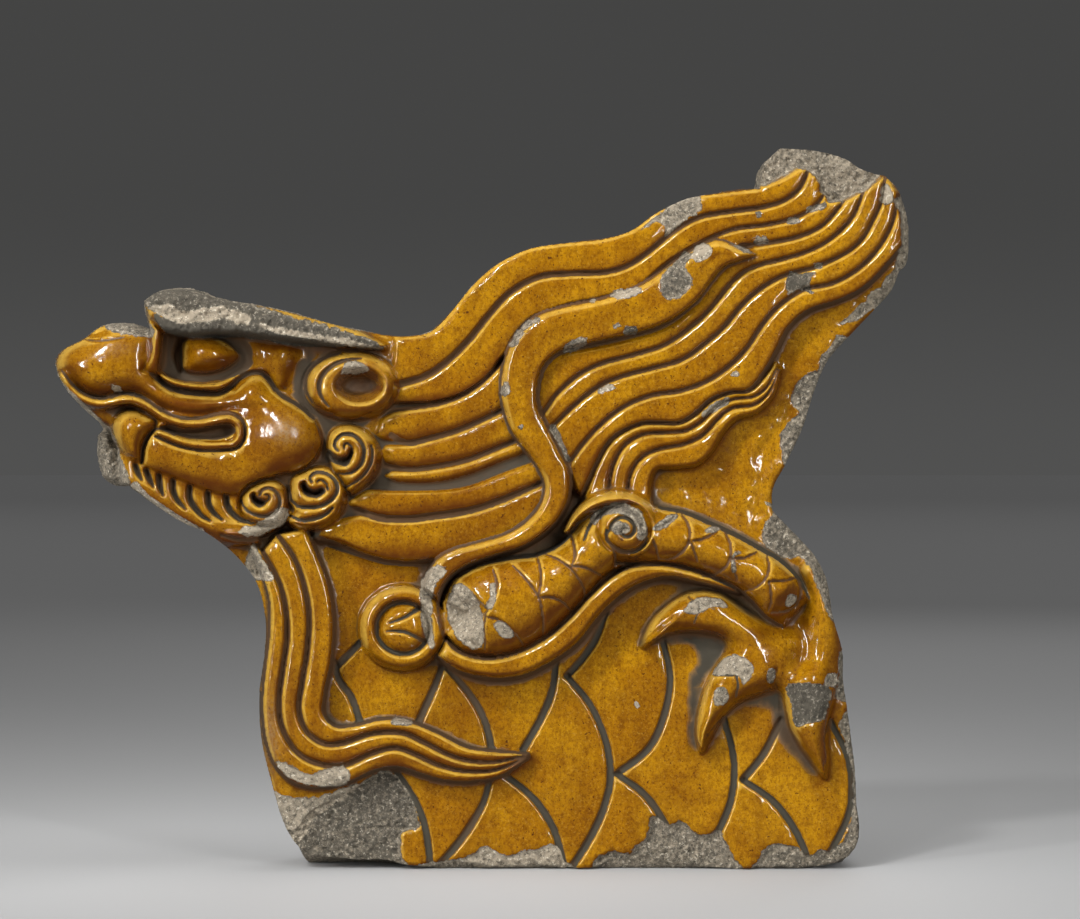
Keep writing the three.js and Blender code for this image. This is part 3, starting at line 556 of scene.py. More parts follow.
@dataclass
class Mane:
    """The long locks that sweep from the head and neck up to the tip at the right."""

    crest: float = 12.5
    edge: float = 9.6
    bevels: Point = (3.0, 1.6)
    nape: Line = (
        -86+166j, -66+188j, -56+194j, -56+216j, -54+230j, -24+234j, -10+238j, 2+246j, 12+257j, 24+236j,
        32+216j, 36+196j, 35+183j, 22+172j, 10+166j, -2+161.5j, -15+157.5j, -27+154.2j, -38.4+153.7j,
        -50+155j, -61.5+158.6j, -70+162.5j,
    )
    # browner patches: a broad one over the neck and the rest browner glaze, but the thin bands along the
    # lower sides of the neck locks and beside the ribbon are painted shade
    browns: tuple[tuple[Point, Point, float, float], ...] = (
        ((-20, 190), (44, 34), 0.25, 10), ((-30, 219), (26, 4), 0.6, 6), ((-28, 205), (26, 3), 0.6, 6),
        ((-26, 181), (34, 4.5), 0.7, 8), ((-36, 159), (34, 5), 0.8, -2), ((-20, 148), (26, 9), 0.6, 10),
        ((10, 176), (22, 6), 0.5, 30), ((-10, 238), (22, 3), 0.5, 16), ((52, 204), (12, 16), 0.45, 50),
        ((66, 196), (10, 12), 0.5, 60), ((34, 268), (20, 4), 0.4, 12), ((70, 279), (30, 4), 0.35, 14),
        ((10, 262), (10, 14), 0.35, 60),
    )
    valleys: dict[str, Line] = field(default_factory=lambda: {
        "back": (-56+269j, -42+270j, -26+271j, -17+281j, -8+292.5j, 6+304.5j, 22+312j, 41+315j, 61+317.5j,
                 74+322j, 87+331j, 102+338j, 118+340.5j, 138.5+342.5j, 150+346j, 159+352j),
        "first": (-54+240j, -42+242.8j, -28+247.3j, -17+255j, -7+265j, 3+277.5j, 14+289j, 28+296.5j,
                  45+298.3j, 62+299j, 73+302.5j, 84+310j, 95+319j, 108+326.3j, 124+329.3j, 140+331.5j,
                  151+335j, 158+340.5j, 163+351j),
        "second": (-54+229.4j, -44+230.2j, -24+232.6j, -10+237.4j, 0+244.4j, 9+254j, 16+267j, 24+275.5j,
                   41+282j, 60+286j, 78+292j, 92+303j, 108+313j, 125+320.3j, 142+322.7j, 157+326.5j,
                   167+333j, 174+345j),
        "under_tip": (112+306j, 127+311.5j, 142+313.5j, 158+316.8j, 170+322.5j, 180+334j),
        "under_ribbon": (24+251j, 36+257j, 55+261j, 75+265.5j, 92+271.5j, 104+281j, 113+292j, 121+301.5j,
                         133+310.5j, 145+314j, 158+316.8j, 170+322.5j, 180+334j),
        "third": (24+222j, 31+230j, 36+237j, 42+243j, 50+249j, 60+253.5j, 75+257.5j, 90+262.3j, 100+268.5j,
                  113+280j, 124+293.5j, 131+299.5j, 138+302.5j, 150+305.5j, 160+308.5j, 170+313j, 178+319j,
                  185+327j, 190+339j),
        "fourth": (32+219j, 41+228j, 50+236j, 60+243j, 70+247j, 85+251j, 100+255.5j, 112+264j, 120+271j,
                   130+283j, 140+291.5j, 150+297j, 166+301.5j, 183+309.5j, 190+316j, 195+325j, 199+334j,
                   201+347j),
        "fifth": (42.5+203j, 52+215.5j, 62+225.5j, 72+232.5j, 85+237.5j, 98+239.5j, 110+243.5j, 120+249.5j,
                  130+258.5j, 140+273j, 148+282j, 160+290j, 175+293.5j, 187+300j, 197+310j, 204+322j,
                  208+338j),
        "sixth": (49+187j, 53+195j, 57+204j, 63+214j, 70+219.5j, 80+223.5j, 90+223.7j, 98+223.7j, 106+228j,
                  114+235j, 124+238.8j, 133+239.8j, 141+249j, 147+259.5j, 153+271j, 163+279.5j, 178+284.5j,
                  190+290.5j, 200+300j, 210+312j),
    })
    tuft: tuple[Line, ...] = (
        (50+186j, 57+204j, 63+214j, 70+219.5j, 80+223.5j, 98+223.7j, 106+228j, 114+235j, 124+238.8j,
         133+239.8j, 140+246j, 146+254j),
        (62+184j, 65+202j, 71+212.5j, 80+217.8j, 92+218.8j, 101+219.6j, 109+224j, 117+231.5j, 125+235.4j,
         136+237j, 142+241.5j, 147+251j),
        (72+182j, 73.5+197j, 79+206j, 88+210.5j, 100+212.8j, 110+217.5j, 116.5+224.5j, 124+230.8j,
         136+232.8j, 143+239j, 148+250j),
        (84.5+180j, 84+193j, 87+200j, 96+200.8j, 107+202.3j, 114+208j, 120+218j, 127+225.2j, 137+228.5j,
         144.5+236j, 149+251j),
    )
    neck: tuple[tuple[Line, Line], ...] = (
        (
            (-54.5+219j, -51.5+225j, -45+228.6j, -24+232.6j, -10+237.4j, 0+244.4j, 12+256j),
            (-54.5+218.4j, -50+215.4j, -38.4+214.5j, -26+216.8j, -12+220.8j, 0+226j, 14+233j),
        ),
        (
            (-51+208.5j, -49+212j, -38.4+212.5j, -26+215.3j, -12+219.3j, 0+224.5j, 14+231.5j),
            (-51+207.6j, -48+203.4j, -36+201.5j, -22+203j, -8+206.2j, 5+211j, 20+217.5j),
        ),
        (
            (-49+197.4j, -45+199.4j, -36+199.3j, -22+200.8j, -8+204j, 5+209j, 20+215j),
            (-49+197j, -45+194.9j, -34+193.7j, -20+194.6j, -6+198.2j, 8+203.8j, 24+210j),
        ),
        (
            (-66+185j, -58+189.7j, -45+189.4j, -30+189.5j, -15+190.4j, -4+193j, 10+198.5j, 28+205j),
            (-68+183j, -58+178.9j, -50+176.9j, -38.4+176.2j, -22+178.1j, -6+180.6j, 8+185.1j, 20+190.1j,
             33+196j),
        ),
        (
            (-78+174j, -58+177.5j, -50+175.5j, -38.4+174.8j, -22+176.7j, -6+179.2j, 8+183.7j, 20+188.7j,
             33+194.5j),
            (-82+167j, -70+163.5j, -61.5+159.6j, -50+156j, -38.4+154.7j, -27+155.2j, -15+158.5j, -2+162.5j,
             10+167j, 22+173j, 33+183j),
        ),
    )

    def carve(self, relief: Relief) -> None:
        """Lays the locks from the back of the neck down, then cuts the dark lines between them.

        Args:
            relief: The height field.
        """
        line = {name: smooth_line(points) for name, points in self.valleys.items()}
        order = (("back", "first", 0.2), ("first", "second", 0.2), ("under_ribbon", "third", 0.5),
                 ("third", "fourth", 0.8), ("fourth", "fifth", 0.6), ("fifth", "sixth", 0.6))
        relief.swell(np.vstack([line["back"], line["sixth"][::-1]]), 9.6, 4.0, 4.0)
        relief.lock(smooth_line(self.valleys["second"][11:]), line["under_tip"], self.crest, self.edge,
                    self.bevels)
        for upper, lower, dome in order:
            relief.lock(line[upper], line[lower], self.crest, self.edge, self.bevels, dome)
        strands = [smooth_line(points) for points in self.tuft]
        for upper, lower in zip(strands, strands[1:]):
            relief.lock(upper, lower, self.crest - 2.5, 6.0, bevels=(4.0, 2.6), fade=(0, 0.12))
        nape = smooth_line(self.nape, closed=True)
        relief.swell(nape, 9.2, 3.0, 4.0)
        relief.dust(nape, 1.0)
        for upper, lower in self.neck:
            relief.lock(upper, lower, self.crest, 9.6, bevels=(3.2, 4.6), fade=(0.06, 0))
        for name in ("second", "under_tip", "third", "fourth", "fifth", "sixth"):
            relief.groove(line[name], [2.2, 2.6, 2.5, 2.0], 1.5, dirt=0.85, flat=0.5, brown=1.0)
        relief.groove(line["first"], [4.2, 3.6, 3.2, 2.8, 2.4], 1.8, dirt=0.85, flat=0.5, brown=1.0)
        for strand in strands[1:-1]:
            relief.groove(strand, [1.6, 2.2, 2.0, 1.0], 1.3, dirt=0.7, brown=1.0)
        relief.groove([-46+217.5j, -38+213.5j, -26+216j, -12+220j, 0+225.3j, 14+232j],
                      [3.6, 3.0, 2.6], 1.2, dirt=0.9, brown=0.5)
        relief.groove([-50+202j, -36+200.4j, -22+202j, -8+205j, 5+210j, 20+216j],
                      [3.0, 2.8, 2.4], 1.0, dirt=0.9, brown=0.5)
        relief.groove([-64+180j, -52+176.2j, -38.4+175.4j, -22+177.3j, -6+179.9j, 8+184.4j, 20+189.4j,
                       33+195j], [4.2, 4.4, 3.2], 1.4, dirt=0.9, brown=0.4)
        relief.groove([-80.7+165.6j, -74.6+162j, -62+158j, -47.7+154j, -34.6+153.4j,
                                   -22+154.8j], [3.4, 3.4, 3.0], 1.6, dirt=0.85)
        for centre, radii, amount, turn in self.browns:
            relief.blot("stain_and_painted_shade", centre, radii, amount, turn)


@dataclass
class Sash:
    """The flat ribbon that crosses the mane in an S, rings the shoulder and runs on under the arm."""

    crest: float = 21.0
    left: Line = (
        136+308j, 125+313j, 118+315.4j, 109+312.5j, 97+305j, 78+292.5j, 60+286j, 41+282j, 28+278j, 19+271j,
        12+260j, 8.5+243j, 10+230j, 14+219j, 20+210.5j, 26+202.5j, 30+194j, 29.5+186j, 24+177j, 13+169j,
        -1+164.5j, -15+160.5j, -24+155j, -29+145j, -31+134j, -30+122j, -26+111j, -18+102.5j, -8+97.6j,
        4+95.4j, 20+96.8j, 36+104.5j, 48+113.5j, 57+125j, 66+134.5j, 77+142j, 91+146.2j, 108+143.5j,
        128+138j,
    )
    right: Line = (
        136.6+306.8j, 129+304j, 121+301j, 114+293j, 108+285j, 96+275.5j, 86+270.8j, 70+266.5j, 52+262.5j,
        40+259.5j, 31+252j, 27.5+239j, 28.5+230j, 33+221j, 38.5+210j, 43+201.5j, 44.3+193j, 42.5+183j,
        35+171.5j, 21+161.5j, 4+156j, -10+150.5j, -17+145j, -21+138j, -22+131j, -21+122j, -18+115j,
        -13+110j, -5+106.8j, 6+106j, 19+109.5j, 32+116.5j, 43+126j, 53+137j, 63+146j, 74+151.7j, 88+153j,
        102+150.5j, 126+143j,
    )

    def carve(self, relief: Relief) -> None:
        """Lays the ribbon as one flat-topped lock with steep rounded sides.

        Args:
            relief: The height field.
        """
        left, right = smooth_line(self.left), smooth_line(self.right)
        relief.lock(left, right, self.crest, 11.0, bevels=(4.0, 2.4), dome=1.0, fade=(0.02, 0.2))
        relief.groove(left, [0.8, 1.8, 2.0, 2.4, 2.0], 1.0, dirt=0.7, brown=0.6)
        relief.groove(right, [0.8, 2.4, 2.8, 2.4, 1.8], 1.6, dirt=0.8, brown=0.9)


@dataclass
class Beard:
    """Three strands that fall down the breast and turn along the body to one point."""

    crest: float = 13.0
    lines: tuple[Line, ...] = (
        (-117+163j, -111+148j, -107+134j, -107+118j, -109+101j, -110.5+84j, -109+66j, -104.5+53j, -98+45.5j,
         -89+41.5j, -78+41j, -66+44j, -54+49.5j, -42+51j, -32+48j, -19+44.6j, -6+44.2j, 8+46.5j, 23+56j),
        (-110+159j, -102+144j, -98.5+130j, -98+115j, -100+101j, -102+83j, -100+70j, -92+58j, -81+52.8j,
         -69.6+52.3j, -56+58j, -43.8+61j, -34+57.8j, -22+52.3j, -8+49.3j, 6+50j, 23+56.6j),
        (-103+168j, -95+157j, -90+144.4j, -87+128j, -87.7+110.6j, -90.5+93j, -92+80j, -88+69j, -79+63j,
         -70+63.5j, -56+68j, -40.7+68.5j, -28+63j, -17+57.5j, -6+54.5j, 6+54j, 23+57.4j),
        (-88+170j, -82+156j, -77+142j, -74.7+125j, -75.5+106j, -79+88j, -79.5+78j, -74+72j, -65+72.3j,
         -50+75.6j, -36+74j, -22+68.5j, -8+61.5j, 6+59.5j, 23+58.2j),
    )

    def carve(self, relief: Relief) -> None:
        """Lays the three strands and cuts the two deep lines between them.

        Args:
            relief: The height field.
        """
        strands = [smooth_line(points) for points in self.lines]
        for outer, inner in zip(strands, strands[1:]):
            relief.lock(outer, inner, self.crest, 9.5, bevels=(4.2, 2.4), dome=0.9, fade=(0.02, 0.22))
        for strand in strands[1:3]:
            relief.groove(strand, [2.8, 3.2, 3.2, 2.8, 1.6], 1.9, dirt=0.9, flat=0.6, brown=1.0)
        for strand in strands[::3]:
            relief.groove(strand, [1.2, 1.8, 2.0, 1.6], 0.9, dirt=0.8, brown=0.6)
        for centre, radii in (((-106, 92), (3, 50)), ((-96, 95), (2.5, 46)), ((-60, 55), (40, 3)),
                              ((-20, 55), (34, 3)), ((-84, 92), (2.5, 40))):
            relief.blot("stain_and_painted_shade", centre, radii, 0.6)
        relief.blot("worn", (-108, 62), (6, 24), 0.6, -8)
        relief.blot("stain_and_painted_shade", (4, 53), (18, 5), 0.7)


@dataclass
class Shell:
    """The small round ornament at the shoulder: a ring about a ball."""

    centre: Point = (-40.0, 121.0)
    outer: float = 22.0
    ring_width: float = 8.0
    ball: float = 12.5

    def carve(self, relief: Relief) -> None:
        """Lays the ring and its ball and cuts the ball's two creases.

        Args:
            relief: The height field.
        """
        relief.swell(ellipse(self.centre, (self.outer, self.outer * 0.98))[:-1], 13.5, 1.0, 5.0)
        middle = self.outer - self.ring_width - 0.6
        relief.groove(ellipse(self.centre, (middle, middle * 0.97)), [3.0, 3.0], 6.0, dirt=0.7)
        relief.swell(ellipse((self.centre[0] + 0.5, self.centre[1]), (self.ball, self.ball))[:-1],
                     14.5, 6.0, 10.0, soften=0.8)
        relief.groove([-47+123.5j, -40+126j, -30+132j], [1.0, 2.4, 3.0], 2.4, dirt=0.7)
        relief.groove([-48+119.5j, -39+119j, -29+114j], [1.0, 2.4, 3.0], 2.4, dirt=0.7)


# ---------- foreleg


@dataclass
class Foreleg:
    """The upper arm, elbow scroll, forearm and three-taloned claw."""

    arm_crest: float = 28.0
    forearm_crest: float = 25.0
    arm: tuple[Line, Line] = (
        (-20+134j, -14+146j, -2+152.5j, 13+156j, 28+158j, 40+164j, 48+174j, 60+181j, 72+178j),
        (-19+118j, -10+109j, 4+106.5j, 20+110j, 34+118.5j, 46+130j, 56+141j, 66+150j, 78+154j),
    )
    forearm: tuple[Line, Line] = (
        (66+184j, 88+181j, 101+178.5j, 113+173.5j, 125+168j, 138+161j, 149+154.5j, 157+146.5j, 163+136j),
        (66+153j, 84+153j, 95+152.5j, 107+149.5j, 117+145.5j, 127+140.5j, 135+133.5j, 141+127j, 150+121.5j),
    )
    arm_scales: tuple[Line, ...] = (
        (5+150j, 7+143j, 5.5+136j, 1+127.5j), (1+127.5j, 0.5+120j, 1+110j),
        (1+127j, 8+125j, 14+120.5j, 18+116j, 20+112.5j),
        (15+152j, 20+147j, 25+141j, 28+136j, 29.5+130j, 30+124j, 30+118j),
        (27+157j, 28.5+151j, 29+146j, 28+137j), (28+136.5j, 33+136.5j, 39+134.5j, 44+129.5j),
        (31+158j, 38+155j, 44+150.5j, 48+145.5j, 50.5+140.5j, 51+136j),
        (44+168j, 45.5+162j, 46+157j, 44.5+152.5j), (44.5+152j, 50+151.5j, 55+149.5j, 59+147j),
        (61+168j, 65+161j, 66+156j, 66+151.5j),
    )
    forearm_scales: tuple[Line, ...] = (
        (83+170j, 85+165j, 87+160j, 88+155j),
        (99+178.5j, 102.5+173j, 103.5+167j, 102+162j, 98.5+158j, 94+155.5j, 89+155.5j),
        (84+170.5j, 89+171.5j, 93+174j, 97+178j),
        (121+169j, 123.5+163.5j, 124+158.5j, 122.5+153j, 119+149.5j, 115+147.5j, 110+147j),
        (103+164.5j, 108+165j, 113+167j, 117+169.5j), (104+163.5j, 106+158.5j, 107.5+154j),
        (142+157j, 143+152j, 142+147j, 139+143j, 135+140.5j, 131+139.5j),
        (124.5+156j, 130+156j, 134+157.5j, 137+159j), (125+155j, 126+150j, 127+144.5j),
        (157.5+145j, 159+140j, 158+135j, 155+131j, 150+129j, 144+128.5j),
        (143+144.5j, 148+144.5j, 152+145j, 156+146j), (143+144j, 144+138j, 144+133j, 142.5+129.5j),
    )
    scroll: Line = (
        42+169.5j, 47+176.5j, 54+182j, 63+185j, 73+184j, 80.5+179j, 83.5+171j, 81+163j, 75+159.5j,
    )
    scroll_grooves: tuple[Line, ...] = (
        (50.5+165j, 53+171.5j, 57+177j, 63+181j, 69+182j, 75+179.5j, 79+174.5j, 79.5+169j),
        (63+169j, 65+174j, 69.3+176.3j, 73.5+175j, 75.8+171.3j, 74.5+167.6j, 71.2+166.6j, 69.2+168.6j,
         70.4+170.9j, 72+170.6j),
        (82+168j, 80.5+163j, 76+159.6j, 70+159.2j, 65.5+161.5j, 62+165.5j, 62+170j),
    )
    talons: tuple[tuple[Line, Line], ...] = (
        (
            (78.5+111.5j, 80.5+118j, 84+124.5j, 89+130j, 96+135.5j, 103+139j, 111+140j, 119+138.5j,
             126+133.5j, 134+128j, 144+121j),
            (80.5+111j, 87+115.8j, 95+118.2j, 103+119j, 110+118.2j, 117+117j, 122+114.5j, 127+109.5j,
             133+104j),
        ),
        (
            (108.6+58.5j, 106.6+67j, 107+76j, 109+85j, 111.6+92.5j, 114.4+98.5j, 119+105.5j, 124.5+110j,
             130+116j),
            (110.2+58.5j, 114.5+67j, 119+75j, 124.5+81j, 131+85.5j, 139+88.5j, 147+91.5j, 155+97j),
        ),
        (
            (170.4+45.5j, 164.5+53j, 158+62j, 153.5+71j, 151.5+80j, 150.8+88j, 152+98j),
            (172.2+45.5j, 173+56j, 172+66j, 173.2+76j, 175.5+85j, 175.5+93j, 172+104j),
        ),
    )
    palm: Line = (
        122+134j, 132+129j, 143+122j, 153+119j, 159+116j, 158+106j, 154+98j, 150+92.5j, 140+89j, 131+87j,
        123+96j, 121+104j, 123+112j, 121+117j,
    )
    ridges: tuple[Line, ...] = (
        (82+113.2j, 89+118.5j, 97+125.5j, 104+130.5j, 114+131j),
        (109.4+60j, 110.6+69j, 113.6+77j, 116+83j, 119+92j), (171.2+47j, 167.5+57j, 164.5+66j, 162+74j),
    )
    valleys: tuple[tuple[Line, float], ...] = (
        ((77+112j, 79+120j, 85+129j, 94+137.5j, 106+143.5j, 118+142.5j, 130+135j, 140+126j, 134+126j,
          124+133j, 112+139j, 100+137j, 90+130j, 83+121j, 80+112j), 0.75),
        ((84+113.5j, 92+118j, 104+119.5j, 116+118j, 122+113j, 119+106j, 113+98j, 108+92j, 104+88j, 103+96j,
          108+106j, 104+112j, 95+113j), 0.9),
        ((103+88j, 102.4+76j, 102.6+66j, 105.4+60j, 107.8+60j, 106.4+70j, 108+84j, 110+92j), 0.85),
        ((112+60j, 118+72j, 126+81.5j, 136+86.5j, 148+90j, 151+82j, 154+72j, 161+60j, 168+48j, 165+46.5j,
          157+55j, 148+64j, 145+72j, 143+80j, 132+81.5j, 122+74.5j, 115+63j), 0.8),
        ((149+96j, 155+112j, 160+126j, 163+124j, 162+110j, 160+98j, 154+93j), 0.3),
    )
    # browner patches: two broad ones over the arm and forearm are browner glaze; the thin bands under the
    # arm, the forearm and the first talon and in the valleys by the talons are painted shade
    browns: tuple[tuple[Point, Point, float, float], ...] = (
        ((26, 132), (38, 16), 0.15, 40), ((108, 160), (40, 12), 0.1, -25), ((138, 118), (14, 3.4), 0.75, 12),
        ((30, 122), (26, 5), 0.7, 28), ((150, 126), (9, 4), 0.5, 0), ((112, 150), (26, 3), 0.5, -22),
        ((162, 60), (6, 14), 0.6, 25), ((113, 66), (3, 10), 0.5, -15), ((100, 120.5), (18, 3), 0.6, 0),
    )

    def carve(self, relief: Relief) -> None:
        """Lays the claw, the two parts of the arm and the elbow's scroll, and cuts the scales.

        Args:
            relief: The height field.
        """
        relief.bead([163+150j, 168+140j, 170+128j, 170+114j, 169+102j, 172+90j],
                    [10, 18, 22, 20, 10], 9.5, 0.0, soft=5.0, over=False)
        relief.swell(self.palm, 14.5, 2.0, 13.0, soften=2.5, soft=2.5, over=False)
        for upper, lower in self.talons:
            relief.lock(upper, lower, 15.0, 2.0, bevels=(9.0, 9.0), dome=0.8, fade=(0.4, 0), over=False)
        for points in self.ridges:
            relief.bead(points, [1, 5, 7, 7], 16.4, 10.5, power=1.2, soft=1.2, over=False)
        relief.soften(self.palm, 2.6, 4.0)
        relief.groove([160+127j, 160.5+118j, 159+106j, 155+97j], [2, 8, 6, 2], 1.4, brown=0.4)
        relief.soften([144+128j, 158+129j, 168+125j, 178+112j, 178+92j, 168+86j, 150+88j, 144+100j], 3.2)
        relief.groove([102+137j, 109+132.5j, 116+130.5j], [0.8, 1.4, 0.8], 0.8, dirt=0.7)
        relief.groove([108+130.5j, 105.4+123j], [1.4, 1.0], 0.8, dirt=0.6)
        relief.groove([126.6+97.5j, 127.4+92j, 126.4+86.5j], [1.6, 1.4, 1.0], 1.2, dirt=0.9)
        relief.groove([114.4+96.8j, 120+97.4j, 126.6+97.4j], [0.8, 1.0, 1.4], 0.9, dirt=0.8)
        relief.groove([146.6+100j, 145+95j, 146+91j], [2, 5, 3], 2.4, dirt=0.3)
        relief.lock(*self.arm, self.arm_crest, 9.0, bevels=(99, 99), fade=(0.2, 0))
        relief.lock(*self.forearm, self.forearm_crest, 8.0, bevels=(99, 99), fade=(0, 0.16))
        for points in self.arm_scales + self.forearm_scales:
            relief.groove(smooth_line(points, 1.0), [1.2, 1.8, 1.8, 1.2], 1.7, dirt=0.55, step=1.3, brown=1.0)
        relief.bead(self.scroll, [3, 7, 10, 11, 10, 9], self.arm_crest + 1, 14.0, over=False)
        relief.swell(ellipse((70.8, 170.6), (13.4, 13.0))[:-1], 31.0, 20.0, 9.0, soften=0.8)
        for points, width in zip(self.scroll_grooves, (2.8, 2.2, 2.6)):
            relief.groove(smooth_line(points, 1.0), [1.2, width, width, 1.6], 3.0, dirt=0.9)
        for line in (self.forearm[0][1:], self.forearm[1], self.arm[0][1:7]):
            relief.groove(line, [1.6, 2.6, 2.6, 1.6], 1.2, dirt=0.85)
        for points, amount in self.valleys:
            relief.dust(points, 0.8 * amount, soft=4.0)
        for centre, radii, amount, turn in self.browns:
            relief.blot("stain_and_painted_shade", centre, radii, amount, turn)


# ---------- head


@dataclass
class Curl:
    """One spiral curl of the beard: a boss, the lines that wind over it and the dark pit by its eye."""

    outline: Line
    lines: tuple[tuple[Line, float], ...]
    pit: Line
    crest: float = 25.0

    def carve(self, relief: Relief) -> None:
        """Swells the boss, cuts its winding lines and hollows its pit.

        Args:
            relief: The height field.
        """
        relief.swell(smooth_line(self.outline, 1.0, closed=True), self.crest, 9.0, 6.5, soften=0.8)
        for points, width in self.lines:
            relief.groove(smooth_line(points, 0.8), [1.0, width, width, width * 0.7], 3.6, dirt=0.85)
        pit = smooth_line(self.pit, 0.8, closed=True)
        relief.scoop(pit, self.crest - 13, 2.2, soft=0.7)
        relief.dust(pit, 1.0, soft=0.8)


